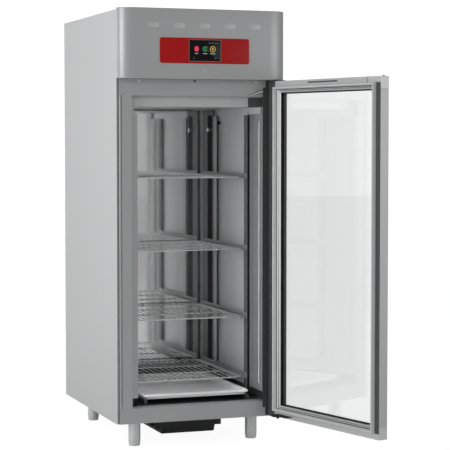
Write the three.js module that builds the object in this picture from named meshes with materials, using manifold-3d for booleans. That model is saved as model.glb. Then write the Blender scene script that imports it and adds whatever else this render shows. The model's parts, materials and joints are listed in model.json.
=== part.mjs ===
// Dry aging cabinet: a foamed steel cupboard on four legs with a glazed door, wire shelves
// on runners and a cooling set behind the header. Millimetres, +Z up, front towards -Y.
// The origin is the centre of the front left leg's sole, on the floor.
import * as THREE from 'three';
import { mergeVertices } from 'three/addons/utils/BufferGeometryUtils.js';
import Module from 'manifold-3d';

const wasm = await Module();
wasm.setup();

// Driving dimensions
const CLEAR = 0.3; // gap between pieces that touch
const CUT = 1; // how far every cut runs past the face it opens
const SHEET = 0.8; // steel sheet
const BODY_WIDTH = 780;
const BODY_DEPTH = 930;
const BODY_BASE = 117; // underside of the body above the floor
const CHAMBER_RISE = 1526; // from the body's underside up to the header
const HEADER_HEIGHT = 308;
const HEADER_RISE = 6; // how far the header stands above the side panels
const SIDE_WALL = 90; // from the body's side to the chamber
const REAR_WALL = 72;
const FLOOR_RISE = 73; // chamber floor above the body's underside
const CEILING_DROP = 83; // chamber ceiling below the header

// Front frame: a stepped steel profile around the opening
const FRAME_DEPTH = 40;
const STILE_BORDER = 70; // from the body's side to the opening
const LINTEL = 73; // from the header down to the opening
const SILL_RISE = 68; // top of the lower rail above the body's underside
const STRIP_HEIGHT = 15; // screw strip between the upper rail and the header
const STRIP_SETBACK = 3; // the screw strip lies a little behind the rail's face
const RAIL_INSET = 20; // depth of the rails' inner step
const GROOVE_WIDTH = 10; // shadow groove between side panel and frame
const GROOVE_DEPTH = 12;
const SCREW_RADIUS = 4.5;
const SCREW_PROUD = 1.6;

// Door
const DOOR_ANGLE = 105; // degrees open at rest
const DOOR_MARGIN = 2; // door edge inside the body's side
const DOOR_GAP = 18; // inner face of the closed door in front of the frame
const DOOR_THICK = 48;
const DOOR_FOOT = 7.6; // door's lower edge above the body's underside
const DOOR_HEAD = 5; // door's upper edge below the header
const DOOR_BORDER = 52; // width of the rails and of the free stile
const HINGE_BORDER = 76; // width of the hinge stile
const PIVOT_INSET = 34.5; // pivot axis inside the hinge edge
const PIVOT_DEPTH = 26.4; // pivot axis in front of the closed door's inner face
const GLASS_RECESS = 26; // inner pane behind the inner face
const GLASS_THICK = 16;
const PANE = 4; // thickness of each of the two panes
const PANE_EDGE = 6; // spacer between them
const DOOR_SHEET = 1.5; // wall of the door's hollow frame members
const GLASS_SEAT = 8; // how far the glass reaches into the frame
const SEAL_WIDTH = 12;
const SEAL_LIP = 7;
const SEAL_PROUD = 17.7;
const SEAL_ROOT = 4; // height of the seal's wide root
const SEAL_SHOULDER = 8; // height where its slim lip begins
const EDGE_STRIP_FREE = 27; // dark strip along the free edge
const EDGE_STRIP_HINGE = 46;
const EDGE_STRIP_THICK = 1;
const RAIL_STRIP = 25; // plain steel outside the level seals

const HALF_W = BODY_WIDTH / 2;
const HALF_D = BODY_DEPTH / 2;
const FRONT = -HALF_D;
const HEADER_BASE = BODY_BASE + CHAMBER_RISE;
const BODY_TOP = HEADER_BASE + HEADER_HEIGHT - HEADER_RISE;
const CEILING = HEADER_BASE - CEILING_DROP;
const LINER_FLOOR = BODY_BASE + FLOOR_RISE;
const INNER_HALF = HALF_W - SIDE_WALL;
const CHAMBER_DEPTH = BODY_DEPTH - REAR_WALL; // from the body's front to the rear liner
const REAR_INNER = FRONT + CHAMBER_DEPTH;
const OPEN_HALF = HALF_W - STILE_BORDER;
const OPENING_TOP = HEADER_BASE - LINTEL;
const RAIL_TOP = HEADER_BASE - STRIP_HEIGHT;
const SILL = BODY_BASE + SILL_RISE;
const DOOR_BASE = BODY_BASE + DOOR_FOOT;
const DOOR_TOP = HEADER_BASE - DOOR_HEAD;

const finishes = {
  steel: { color: 0xa9abac, roughness: 0.36, metalness: 0.75 },
  innerSteel: { color: 0xb4b6b8, roughness: 0.28, metalness: 0.8 },
  wire: { color: 0xc8cacc, roughness: 0.25, metalness: 0.85 },
  driver: { color: 0x26272a, roughness: 0.6, metalness: 0 },
  charcoal: { color: 0x3c3d3f, roughness: 0.6, metalness: 0 },
  black: { color: 0x18191a, roughness: 0.5, metalness: 0 },
  greySeal: { color: 0xa0a2a4, roughness: 0.55, metalness: 0.2 },
  red: { color: 0x9c1a1c, roughness: 0.2, metalness: 0 },
  screen: { color: 0x0a0b0c, roughness: 0.12, metalness: 0 },
  glass: { color: 0xe6ecec, roughness: 0.05, metalness: 0 },
  copper: { color: 0xb57a52, roughness: 0.4, metalness: 0.8 },
};

// Solids: every shape starts as a three.js geometry and becomes a manifold for cuts and joins
function solid(geometry) {
  geometry.deleteAttribute('normal');
  geometry.deleteAttribute('uv');
  const merged = mergeVertices(geometry, 1e-4);
  const mesh = new wasm.Mesh({
    numProp: 3,
    vertProperties: new Float32Array(merged.attributes.position.array),
    triVerts: new Uint32Array(merged.index.array),
  });
  return new wasm.Manifold(mesh);
}

// A box between three pairs of limits
function block([x0, x1], [y0, y1], [z0, z1]) {
  const geometry = new THREE.BoxGeometry(x1 - x0, y1 - y0, z1 - z0);
  geometry.translate((x0 + x1) / 2, (y0 + y1) / 2, (z0 + z1) / 2);
  return solid(geometry);
}

// A shape drawn in X and Y, raised between two heights
function upright(shape, [z0, z1], curveSegments = 6) {
  const geometry = new THREE.ExtrudeGeometry(shape, { depth: z1 - z0, bevelEnabled: false, curveSegments });
  geometry.translate(0, 0, z0);
  return solid(geometry);
}

// A shape drawn in X and Z, run from y0 to y1
function alongY(shape, [y0, y1], curveSegments = 6) {
  const geometry = new THREE.ExtrudeGeometry(shape, { depth: y1 - y0, bevelEnabled: false, curveSegments });
  geometry.rotateX(Math.PI / 2);
  geometry.translate(0, y1, 0);
  return solid(geometry);
}

function outline(points) {
  return new THREE.Shape(points.map(([x, y]) => new THREE.Vector2(x, y)));
}

function roundedRect([x0, x1], [y0, y1], radius) {
  const shape = new THREE.Shape();
  shape.moveTo(x0 + radius, y0);
  shape.lineTo(x1 - radius, y0);
  shape.absarc(x1 - radius, y0 + radius, radius, -Math.PI / 2, 0);
  shape.lineTo(x1, y1 - radius);
  shape.absarc(x1 - radius, y1 - radius, radius, 0, Math.PI / 2);
  shape.lineTo(x0 + radius, y1);
  shape.absarc(x0 + radius, y1 - radius, radius, Math.PI / 2, Math.PI);
  shape.lineTo(x0, y0 + radius);
  shape.absarc(x0 + radius, y0 + radius, radius, Math.PI, 1.5 * Math.PI);
  return shape;
}

// A rod or disc between two points of one axis
function rodZ(x, y, radius, [z0, z1], sides) {
  const geometry = new THREE.CylinderGeometry(radius, radius, z1 - z0, sides);
  geometry.rotateX(Math.PI / 2);
  geometry.translate(x, y, (z0 + z1) / 2);
  return solid(geometry);
}

function rodY(x, z, radius, [y0, y1], sides) {
  const geometry = new THREE.CylinderGeometry(radius, radius, y1 - y0, sides);
  geometry.translate(x, (y0 + y1) / 2, z);
  return solid(geometry);
}

function rodX(y, z, radius, [x0, x1], sides) {
  const geometry = new THREE.CylinderGeometry(radius, radius, x1 - x0, sides);
  geometry.rotateZ(Math.PI / 2);
  geometry.translate((x0 + x1) / 2, y, z);
  return solid(geometry);
}

function join(...parts) {
  return parts.reduce((sum, part) => sum.add(part));
}

const cabinet = new THREE.Group();

function addPiece(name, manifold, finish, parent = cabinet) {
  const { vertProperties, triVerts, numProp } = manifold.getMesh();
  const positions = [];
  for (const vertex of triVerts) {
    for (let axis = 0; axis < 3; axis += 1) positions.push(vertProperties[vertex * numProp + axis]);
  }
  const geometry = new THREE.BufferGeometry();
  geometry.setAttribute('position', new THREE.Float32BufferAttribute(positions, 3));
  geometry.computeVertexNormals();
  const mesh = new THREE.Mesh(geometry, new THREE.MeshStandardMaterial(finishes[finish]));
  mesh.name = name;
  parent.add(mesh);
}

// A mirrored pair of limits for the left (-1) or right (+1) side
const span = (side, inner, outer) => (side < 0 ? [-outer, -inner] : [inner, outer]);
const sideName = (side) => (side < 0 ? 'left' : 'right');

// Outer casing: folded side panels, rear, roof and base sheets
const RETURN_FOLD = 14; // depth of the side panels' folded edges
const LOUVRE_COUNT = 7;
const LOUVRE_LENGTH = 420;
const LOUVRE_HEIGHT = 8;
const LOUVRE_PITCH = 26;
const LOUVRE_RISE = 67; // lowest louvre above the header's lower edge

function sidePanel(side) {
  const face = HALF_W;
  const inside = HALF_W - SHEET;
  const fold = inside - GROOVE_WIDTH;
  const grooveBack = FRONT + GROOVE_DEPTH;
  const rearFace = HALF_D - SHEET - CLEAR;
  const rearFold = inside - RETURN_FOLD;
  const section = [
    [face, FRONT], [face, rearFace], [rearFold, rearFace], [rearFold, rearFace - SHEET],
    [inside, rearFace - SHEET], [inside, grooveBack + SHEET], [fold, grooveBack + SHEET],
    [fold, grooveBack], [inside, grooveBack], [inside, FRONT],
  ].map(([x, y]) => [side * x, y]);
  return upright(outline(section), [BODY_BASE, BODY_TOP]);
}

function rearPanel() {
  let panel = block([-HALF_W, HALF_W], [HALF_D - SHEET, HALF_D], [BODY_BASE, BODY_TOP]);
  const halfSlot = LOUVRE_LENGTH / 2;
  for (let row = 0; row < LOUVRE_COUNT; row += 1) {
    const z = HEADER_BASE + LOUVRE_RISE + row * LOUVRE_PITCH;
    const slot = block([-halfSlot, halfSlot], [HALF_D - SHEET - CUT, HALF_D + CUT], [z, z + LOUVRE_HEIGHT]);
    panel = panel.subtract(slot);
  }
  return panel;
}

const insideHalf = HALF_W - SHEET - CLEAR;
const insideRear = HALF_D - SHEET - CLEAR;
const sheetRear = insideRear - SHEET - CLEAR;
const foldRear = FRONT + GROOVE_DEPTH + SHEET + CLEAR; // just behind the front folds
const frameOuter = HALF_W - SHEET - GROOVE_WIDTH - CLEAR;

for (const side of [-1, 1]) addPiece(`${sideName(side)}_side_panel`, sidePanel(side), 'steel');
addPiece('rear_panel', rearPanel(), 'steel');

// The roof sheet closes the cooling compartment and turns down at its edges
const ROOF_FOLD = 24;

function roofPanel() {
  const outer = block([-insideHalf, insideHalf], [foldRear, sheetRear], [BODY_TOP - ROOF_FOLD, BODY_TOP])
    .add(block([-frameOuter, frameOuter], [FRONT, foldRear + CUT], [BODY_TOP - ROOF_FOLD, BODY_TOP]));
  const hollow = block(
    [-insideHalf + SHEET, insideHalf - SHEET],
    [FRONT + SHEET, sheetRear - SHEET],
    [BODY_TOP - ROOF_FOLD - CUT, BODY_TOP - SHEET],
  );
  return outer.subtract(hollow);
}

addPiece('roof_panel', roofPanel(), 'steel');

// Evaporation tray under the body, hung by its rims in two folded rails of the base sheet
const TRAY_HALF = 150; // half width of the rims
const TRAY_FOOT_HALF = 127; // half width of its bottom
const TRAY_FRONT = 190; // front face behind the body's front
const TRAY_LENGTH = 300;
const TRAY_DROP = 88; // bottom below the body
const TRAY_RIM = 5;
const TRAY_RIM_WIDTH = 12;
const TRAY_WALL = 3;
const TRAY_END = 12; // the two full-height ends
const TRAY_SIDE = 16; // height of the low side walls between them
const TRAY_HANG = 22; // rim below the body
const RAIL_LIP = 10;
const TRAY_RAIL = 1.5; // sheet of its rails

function baseRails(side) {
  const outer = TRAY_HALF + CLEAR + TRAY_RAIL;
  const lip = TRAY_HALF - RAIL_LIP;
  const rimUnder = BODY_BASE - TRAY_HANG - TRAY_RIM - CLEAR;
  const run = [FRONT + TRAY_FRONT, FRONT + TRAY_FRONT + TRAY_LENGTH];
  const web = block(span(side, outer - TRAY_RAIL, outer), run, [rimUnder - TRAY_RAIL, BODY_BASE + SHEET / 2]);
  const ledge = block(span(side, lip, outer), run, [rimUnder - TRAY_RAIL, rimUnder]);
  return web.add(ledge);
}

function basePanel() {
  const run = [FRONT + FRAME_DEPTH + CLEAR, sheetRear];
  const sheet = block([-insideHalf, insideHalf], run, [BODY_BASE, BODY_BASE + SHEET]);
  return join(sheet, baseRails(-1), baseRails(1));
}

addPiece('base_panel', basePanel(), 'steel');

function evaporationTray() {
  const rimTop = BODY_BASE - TRAY_HANG;
  const bottom = BODY_BASE - TRAY_DROP;
  const flank = TRAY_HALF - TRAY_RIM_WIDTH;
  const near = FRONT + TRAY_FRONT;
  const section = [
    [-TRAY_HALF, rimTop - TRAY_RIM], [-flank, rimTop - TRAY_RIM], [-TRAY_FOOT_HALF, bottom],
    [TRAY_FOOT_HALF, bottom], [flank, rimTop - TRAY_RIM], [TRAY_HALF, rimTop - TRAY_RIM],
    [TRAY_HALF, rimTop], [-TRAY_HALF, rimTop],
  ];
  const hollow = [
    [-TRAY_FOOT_HALF + TRAY_WALL, bottom + TRAY_WALL], [TRAY_FOOT_HALF - TRAY_WALL, bottom + TRAY_WALL],
    [flank - TRAY_WALL, rimTop + CUT], [-flank + TRAY_WALL, rimTop + CUT],
  ];
  const far = near + TRAY_LENGTH;
  const above = block(
    [-TRAY_HALF - CUT, TRAY_HALF + CUT],
    [near + TRAY_END, far - TRAY_END],
    [bottom + TRAY_SIDE, rimTop + CUT],
  );
  return alongY(outline(section), [near, far])
    .subtract(alongY(outline(hollow), [near + TRAY_END, far - TRAY_END]))
    .subtract(above);
}

addPiece('evaporation_tray', evaporationTray(), 'black');

// Liner: bright sheets between base and deck, with a niche in each side wall for a light column
const COLUMN_FOOT = 45; // light column above the sill
const COLUMN_HEAD = 77; // and below the opening's top
const COLUMN_PROUD = 6;
const COLUMN_SETBACK = 2;
const JAMB_DEPTH = 72; // depth of the niche behind the body's front
const WALL_FRONT = FRONT + FRAME_DEPTH + CLEAR;
const LINER_TAIL = 34; // side sheets run on behind the rear sheet
const SUPPORT_INSET = 65; // ribs under the drip tray
const SUPPORT_WIDTH = 16;
const SUPPORT_RISE = 21.7;

const columnBase = SILL + COLUMN_FOOT;
const columnTop = OPENING_TOP - COLUMN_HEAD;
const supportTop = LINER_FLOOR + SUPPORT_RISE;
const deckTop = HEADER_BASE - CLEAR;
const deckUnder = deckTop - SHEET;
const wallRange = [BODY_BASE + SHEET + CLEAR, deckUnder - CLEAR];
const jambRange = [columnBase - CLEAR, columnTop + CLEAR];
const liner = INNER_HALF - CLEAR;
const linerY = [WALL_FRONT, REAR_INNER - CLEAR];

function sideWall(side) {
  const run = [WALL_FRONT, REAR_INNER + LINER_TAIL];
  const sheet = block(span(side, INNER_HALF, INNER_HALF + SHEET), run, wallRange);
  const lining = block(
    span(side, INNER_HALF, OPEN_HALF + SHEET),
    [WALL_FRONT, FRONT + JAMB_DEPTH + SHEET],
    [jambRange[0] - SHEET, jambRange[1] + SHEET],
  );
  const nicheRun = [WALL_FRONT - CUT, FRONT + JAMB_DEPTH];
  const niche = block(span(side, INNER_HALF - CUT, OPEN_HALF), nicheRun, jambRange);
  return sheet.add(lining).subtract(niche);
}

function floorWall() {
  let floor = block([-liner, liner], linerY, [LINER_FLOOR - SHEET, LINER_FLOOR]);
  for (const side of [-1, 1]) {
    const rib = span(side, INNER_HALF - SUPPORT_INSET, INNER_HALF - SUPPORT_INSET + SUPPORT_WIDTH);
    const run = [linerY[0] + SUPPORT_WIDTH, linerY[1] - SUPPORT_WIDTH];
    floor = floor.add(block(rib, run, [LINER_FLOOR - CUT, supportTop]));
  }
  return floor;
}

const rearSheet = [REAR_INNER, REAR_INNER + SHEET];
for (const side of [-1, 1]) addPiece(`wall_${sideName(side)}`, sideWall(side), 'innerSteel');
addPiece('wall_rear', block([-liner, liner], rearSheet, wallRange), 'innerSteel');
addPiece('wall_ceiling', block([-liner, liner], linerY, [CEILING, CEILING + SHEET]), 'innerSteel');
addPiece('wall_floor', floorWall(), 'innerSteel');

const deck = block([-insideHalf, insideHalf], [WALL_FRONT, sheetRear], [deckUnder, deckTop]);
addPiece('deck_panel', deck, 'steel');

// Front frame: two stiles between an upper rail with its screw strip and a lower rail
const RAIL_STEP = 4; // the rails' inner step towards the opening
const STRIP_SCREWS = [-285, 265];
const SWITCH_RADIUS = 5; // head of the door switch on the screw strip
const SWITCH_PROUD = 3;
const SWITCH_X = -28;
const FRAME_SHEET = 1.5; // walls of the frame's profile, open to the rear
const FRAME_FACE = 7;
const BEAD_RADIUS = 5.5; // rounded bead along the stile's outer edge
const BEAD_NOTCH = 2;
const BEAD_STEPS = 6;

// Half-round bead at the outer edge, a fine notch, then the flat face up to the opening
function stile(side) {
  const back = FRONT + FRAME_DEPTH;
  const centre = frameOuter - BEAD_RADIUS;
  const bead = [];
  for (let step = 0; step <= BEAD_STEPS; step += 1) {
    const turn = (step / BEAD_STEPS) * Math.PI;
    bead.push([centre + BEAD_RADIUS * Math.cos(turn), FRONT + BEAD_RADIUS - BEAD_RADIUS * Math.sin(turn)]);
  }
  const notch = centre - BEAD_RADIUS - BEAD_NOTCH;
  const section = [
    [frameOuter, back], ...bead, [notch, FRONT + BEAD_RADIUS], [notch, FRONT],
    [OPEN_HALF, FRONT], [OPEN_HALF, back],
  ].map(([x, y]) => [side * x, y]);
  return upright(outline(section), [SILL - CUT, OPENING_TOP + CUT]);
}

const between = (a, b) => (a < b ? [a, b] : [b, a]);

function frameRail(edge, step, outer) {
  const back = FRONT + FRAME_DEPTH;
  const faceBar = block([-frameOuter, frameOuter], [FRONT, back], between(edge, outer));
  const stepHalf = OPEN_HALF - CLEAR;
  const stepBar = block([-stepHalf, stepHalf], [back - RAIL_INSET, back], between(step, outer));
  return faceBar.add(stepBar);
}

function upperRail() {
  const stripTop = HEADER_BASE - CLEAR;
  const stripFace = FRONT + STRIP_SETBACK;
  let rail = frameRail(OPENING_TOP, OPENING_TOP - RAIL_STEP, RAIL_TOP)
    .add(block([-frameOuter, frameOuter], [stripFace, FRONT + FRAME_DEPTH], [RAIL_TOP - CUT, stripTop]));
  const z = (RAIL_TOP + stripTop) / 2;
  for (const x of STRIP_SCREWS) {
    rail = rail.add(rodY(x, z, SCREW_RADIUS, [stripFace - SCREW_PROUD, stripFace + CUT], 12));
  }
  return rail;
}

function doorSwitch() {
  const face = FRONT + STRIP_SETBACK - CLEAR;
  return rodY(SWITCH_X, (RAIL_TOP + HEADER_BASE) / 2, SWITCH_RADIUS, [face - SWITCH_PROUD, face], 12);
}

function frontFrame() {
  const run = [FRONT + FRAME_FACE, FRONT + FRAME_DEPTH + CUT];
  const outer = frameOuter - FRAME_SHEET;
  const inner = OPEN_HALF + FRAME_SHEET;
  const pocket = block([-outer, outer], run, [BODY_BASE + FRAME_SHEET, HEADER_BASE - CLEAR - FRAME_SHEET]);
  const core = block([-inner, inner], run, [SILL - FRAME_SHEET, OPENING_TOP + FRAME_SHEET]);
  const lowerRail = frameRail(SILL, SILL + RAIL_STEP, BODY_BASE);
  return join(stile(-1), stile(1), upperRail(), lowerRail).subtract(pocket.subtract(core));
}

addPiece('front_frame', frontFrame(), 'steel');
addPiece('door_switch', doorSwitch(), 'black');

// Light columns: a box lining the opening's jamb with a thin leaf on the wall behind it
const LENS_DEPTH = 5; // recess of the light strip in the column's inner face
const LENS_FRONT = 12;
const LENS_WIDTH = 34;
const LEAF_BACK = 165;
const LEAF_SHEET = 1.2;

function lightColumn(side) {
  const inner = INNER_HALF - COLUMN_PROUD;
  const z = [columnBase, columnTop];
  const face = FRONT + COLUMN_SETBACK;
  const post = block(span(side, inner, OPEN_HALF - CLEAR), [face, FRONT + JAMB_DEPTH - CLEAR], z);
  const leafInner = INNER_HALF - CLEAR - LEAF_SHEET;
  const leafRun = [FRONT + JAMB_DEPTH - CUT, FRONT + LEAF_BACK];
  const leaf = block(span(side, leafInner, INNER_HALF - CLEAR), leafRun, z);
  const hollow = block(
    span(side, INNER_HALF + LEAF_SHEET, OPEN_HALF - CLEAR - LEAF_SHEET),
    [face + LEAF_SHEET, FRONT + JAMB_DEPTH + CUT],
    [columnBase + LEAF_SHEET, columnTop - LEAF_SHEET],
  );
  const lens = block(
    span(side, inner - CUT, inner + LENS_DEPTH),
    [FRONT + LENS_FRONT, FRONT + LENS_FRONT + LENS_WIDTH],
    [columnBase + LENS_WIDTH, columnTop - LENS_WIDTH],
  );
  return post.add(leaf).subtract(lens).subtract(hollow);
}

for (const side of [-1, 1]) addPiece(`light_column_${sideName(side)}`, lightColumn(side), 'innerSteel');

// Rack: slotted uprights on the side walls, with a pair of angle runners for each shelf
const UPRIGHT_DEPTH = 15;
const UPRIGHT_WIDTH = 44;
const UPRIGHT_WALL = 2;
const UPRIGHT_FRONT = 173; // front edge behind the body's front
const UPRIGHT_REAR = 258; // front edge ahead of the rear liner
const RACK_FOOT = 6; // uprights above the chamber's floor
const RACK_HEAD = 70; // and below its ceiling
const SLOT_HEIGHT = 9;
const SLOT_WIDTH = 5;
const SLOT_DEPTH = 4;
const SLOT_PITCH = 52.5;
const SLOT_SETBACK = 20;
const RUNNER_WIDTH = 32;
const RUNNER_HEIGHT = 22;
const RUNNER_SHEET = 1.5;
const RUNNER_START = 174; // behind the body's front
const RUNNER_END = 34; // ahead of the rear liner
const SHELF_SHARES = [0.066, 0.283, 0.526, 0.783]; // of the uprights' height

const rackBase = LINER_FLOOR + RACK_FOOT;
const rackTop = CEILING - RACK_HEAD;
const uprightInner = INNER_HALF - UPRIGHT_DEPTH;
const slotCount = Math.floor((rackTop - rackBase) / SLOT_PITCH);

// An open channel against the side wall, its slots in the middle of the web
function rackUpright(side, near) {
  const hollow = block(
    span(side, uprightInner + UPRIGHT_WALL, INNER_HALF - CLEAR - UPRIGHT_WALL),
    [near - CUT, near + UPRIGHT_WIDTH - UPRIGHT_WALL],
    [rackBase - CUT, rackTop + CUT],
  );
  const web = span(side, uprightInner, INNER_HALF - CLEAR);
  let post = block(web, [near, near + UPRIGHT_WIDTH], [rackBase, rackTop]).subtract(hollow);
  for (let row = 1; row < slotCount; row += 1) {
    const z = rackBase + row * SLOT_PITCH;
    const y = near + SLOT_SETBACK;
    const x = span(side, uprightInner - CUT, uprightInner + SLOT_DEPTH);
    post = post.subtract(block(x, [y, y + SLOT_WIDTH], [z, z + SLOT_HEIGHT]));
  }
  return post;
}

for (const side of [-1, 1]) {
  addPiece(`rack_upright_front_${sideName(side)}`, rackUpright(side, FRONT + UPRIGHT_FRONT), 'innerSteel');
  addPiece(`rack_upright_rear_${sideName(side)}`, rackUpright(side, REAR_INNER - UPRIGHT_REAR), 'innerSteel');
}

// Wire shelf: a bent rim rod, two cross rods below and the long wires on top
const WIRE = 4;
const RIM = 7;
const SHELF_INSET = 33; // between the shelf's side and the chamber's wall
const SHELF_START = 177; // front rod behind the body's front
const SHELF_END = 41; // rear rod ahead of the rear liner
const WIRE_COUNT = 17;
const CROSS_ROD_SHARES = [0.34, 0.67];
const WELD = 0.6; // how deep welded wires sink into each other

function wireShelf(top) {
  const near = FRONT + SHELF_START;
  const far = REAR_INNER - SHELF_END;
  const outer = INNER_HALF - SHELF_INSET;
  const rimZ = top - WIRE - RIM / 2 + WELD;
  const half = RIM / 2;
  const rimX = outer - half;
  const wireZ = [top - WIRE, top];
  const rimBand = [rimZ - half, rimZ + half];
  const inside = [rimBand[0] - CUT, rimBand[1] + CUT];
  let shelf = block([-outer, outer], [near, far], rimBand)
    .subtract(block([-rimX + half, rimX - half], [near + RIM, far - RIM], inside));
  for (const share of CROSS_ROD_SHARES) {
    const y = near + share * (far - near);
    shelf = shelf.add(block([-rimX, rimX], [y - half, y + half], rimBand));
  }
  const pitch = (2 * rimX) / (WIRE_COUNT + 1);
  for (let index = 1; index <= WIRE_COUNT; index += 1) {
    const x = -rimX + index * pitch;
    shelf = shelf.add(block([x - WIRE / 2, x + WIRE / 2], [near + WIRE / 2, far - WIRE / 2], wireZ));
  }
  return shelf;
}

// Runner: an angle hooked into the uprights, its ledge under the shelf's rim
function runner(side, top) {
  const rimUnder = top - WIRE - RIM + WELD;
  const ledgeTop = rimUnder - CLEAR;
  const outer = uprightInner - CLEAR;
  const y = [FRONT + RUNNER_START, REAR_INNER - RUNNER_END];
  const base = ledgeTop - RUNNER_SHEET;
  const web = block(span(side, outer - RUNNER_SHEET, outer), y, [base, ledgeTop + RUNNER_HEIGHT]);
  const ledge = block(span(side, outer - RUNNER_WIDTH, outer), y, [base, ledgeTop]);
  return web.add(ledge);
}

SHELF_SHARES.forEach((share, index) => {
  const top = rackBase + share * (rackTop - rackBase);
  const level = index + 1;
  addPiece(`shelf_${level}`, wireShelf(top), 'wire');
  for (const side of [-1, 1]) addPiece(`runner_${level}_${sideName(side)}`, runner(side, top), 'innerSteel');
});

// Drip tray on the floor's ribs: a shallow pressed pan with a rolled rim
const PAN_INSET = 48; // between the rim and the chamber's side wall
const PAN_FRONT = 60; // behind the body's front
const PAN_END = 198; // ahead of the rear liner
const PAN_HEIGHT = 20;
const PAN_WALL = 1.5;
const PAN_RIM = 9;
const PAN_CORNER = 18;

function dripTray() {
  const half = INNER_HALF - PAN_INSET;
  const base = supportTop + CLEAR;
  const top = base + PAN_HEIGHT;
  const inset = (by, radius) => roundedRect(
    [-half + by, half - by],
    [FRONT + PAN_FRONT + by, REAR_INNER - PAN_END - by],
    radius,
  );
  const rim = inset(0, PAN_CORNER);
  const skirt = inset(PAN_WALL, PAN_CORNER - PAN_WALL);
  const well = inset(PAN_RIM, PAN_CORNER - PAN_WALL);
  const hollow = inset(PAN_RIM + PAN_WALL, PAN_CORNER - 2 * PAN_WALL);
  return upright(rim, [top - PAN_RIM, top], 4)
    .subtract(upright(skirt, [top - PAN_RIM - CUT, top - PAN_WALL], 4))
    .add(upright(well, [base, top], 4))
    .subtract(upright(hollow, [base + PAN_WALL, top + CUT], 4));
}

addPiece('drip_tray', dripTray(), 'innerSteel');

// Air channel on the right wall, and the evaporator with its fan behind a ceiling cover
const CHANNEL_START = 198; // front edge ahead of the rear liner
const CHANNEL_WIDTH = 160;
const CHANNEL_THICK = 12;
const CHANNEL_HEAD = 60; // top below the ceiling
const CHANNEL_SLOT = 72;
const CHANNEL_SLOT_SHARE = 0.41; // slot centre across the channel
const CHANNEL_SLOT_END = 40;

function airChannel() {
  const near = REAR_INNER - CHANNEL_START;
  const top = CEILING - CHANNEL_HEAD;
  const x = [INNER_HALF - CHANNEL_THICK, INNER_HALF - CLEAR];
  const body = block(x, [near, near + CHANNEL_WIDTH], [LINER_FLOOR + CLEAR, top]);
  const y = near + CHANNEL_SLOT_SHARE * CHANNEL_WIDTH;
  const slot = block(
    [x[0] - CUT, x[0] + CHANNEL_THICK / 2],
    [y - CHANNEL_SLOT / 2, y + CHANNEL_SLOT / 2],
    [LINER_FLOOR + CHANNEL_SLOT_END, top - CHANNEL_SLOT_END],
  );
  return body.subtract(slot);
}

addPiece('air_channel', airChannel(), 'charcoal');

// Humidity probe: a round head on a bracket tongue across the channel's slot
const PROBE_AHEAD = 144; // axis ahead of the rear liner
const PROBE_DROP = 134; // and below the ceiling
const PROBE_RADIUS = 13;
const PROBE_LENGTH = 12;
const PROBE_TONGUE = 46;
const PROBE_TONGUE_WIDTH = 14;
const PROBE_SHEET = 1.5;

function humidityProbe() {
  const face = INNER_HALF - CHANNEL_THICK - CLEAR;
  const y = REAR_INNER - PROBE_AHEAD;
  const z = CEILING - PROBE_DROP;
  const tongue = block(
    [face - PROBE_SHEET, face],
    [y - PROBE_TONGUE, y + PROBE_TONGUE],
    [z - PROBE_TONGUE_WIDTH / 2, z + PROBE_TONGUE_WIDTH / 2],
  );
  return tongue.add(rodX(y, z, PROBE_RADIUS, [face - PROBE_LENGTH, face], 16));
}

addPiece('humidity_probe', humidityProbe(), 'wire');

const COVER_START = 42; // cover's face behind the body's front
const COVER_END = 206; // ahead of the rear liner
const COVER_HEIGHT = 37;
const COVER_INSET = 1; // between its side and the chamber's wall
const COVER_SHEET = 1.2;
const DRIVER_WIDTH = 59; // corner left free for the driver box
const DRIVER_LENGTH = 80;
const COVER_SCREWS = [-150, 150];
const COVER_SCREW_DROP = 12;
const FAN_RADIUS = 90;
const FAN_AHEAD = 310; // fan axis ahead of the cover's rear
const FAN_THICK = 12;
const FAN_HUB = 22;
const BLADE_COUNT = 5;
const BLADE_SHEET = 1.6;
const BLADE_TWIST = 28; // degrees
const BLADE_ROOT_SHARE = 0.3;
const FAN_GAP = 4;
const GRILLE_ROWS = 11; // slots of the round grille under the fan
const GRILLE_PITCH = 15;
const GRILLE_SLOT = 6;

const coverNear = FRONT + COVER_START;
const coverFar = REAR_INNER - COVER_END;
const coverHalf = INNER_HALF - COVER_INSET;
const coverBase = CEILING - COVER_HEIGHT;
const coverTop = CEILING - CLEAR;
const notchX = coverHalf - DRIVER_WIDTH;
const evaporatorFanY = coverFar - FAN_AHEAD;

function evaporatorCover() {
  const near = coverNear;
  const far = coverFar;
  const top = coverTop;
  const outer = block([-coverHalf, coverHalf], [near, far], [coverBase, top]);
  const hollow = block(
    [-coverHalf + COVER_SHEET, coverHalf - COVER_SHEET],
    [near + COVER_SHEET, far - COVER_SHEET],
    [coverBase + COVER_SHEET, top + CUT],
  );
  const grilleZ = [coverBase - CUT, coverBase + COVER_SHEET + CUT];
  let slots = null;
  for (let row = 0; row < GRILLE_ROWS; row += 1) {
    const offset = (row - (GRILLE_ROWS - 1) / 2) * GRILLE_PITCH;
    const reach = Math.sqrt(FAN_RADIUS ** 2 - offset ** 2);
    const y = evaporatorFanY + offset;
    const bar = block([-reach, reach], [y - GRILLE_SLOT / 2, y + GRILLE_SLOT / 2], grilleZ);
    slots = slots ? slots.add(bar) : bar;
  }
  const corner = [notchX, coverHalf + CUT];
  const notch = block(corner, [near - CUT, near + DRIVER_LENGTH], [coverBase - CUT, top + CUT]);
  const cheek = block(
    [notchX - COVER_SHEET, coverHalf],
    [near, near + DRIVER_LENGTH + COVER_SHEET],
    [coverBase, top],
  );
  let cover = outer.subtract(hollow).add(cheek).subtract(notch).subtract(slots);
  for (const x of COVER_SCREWS) {
    const z = top - COVER_SCREW_DROP;
    cover = cover.add(rodY(x, z, SCREW_RADIUS, [near - SCREW_PROUD, near + COVER_SHEET], 10));
  }
  return cover;
}

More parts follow.
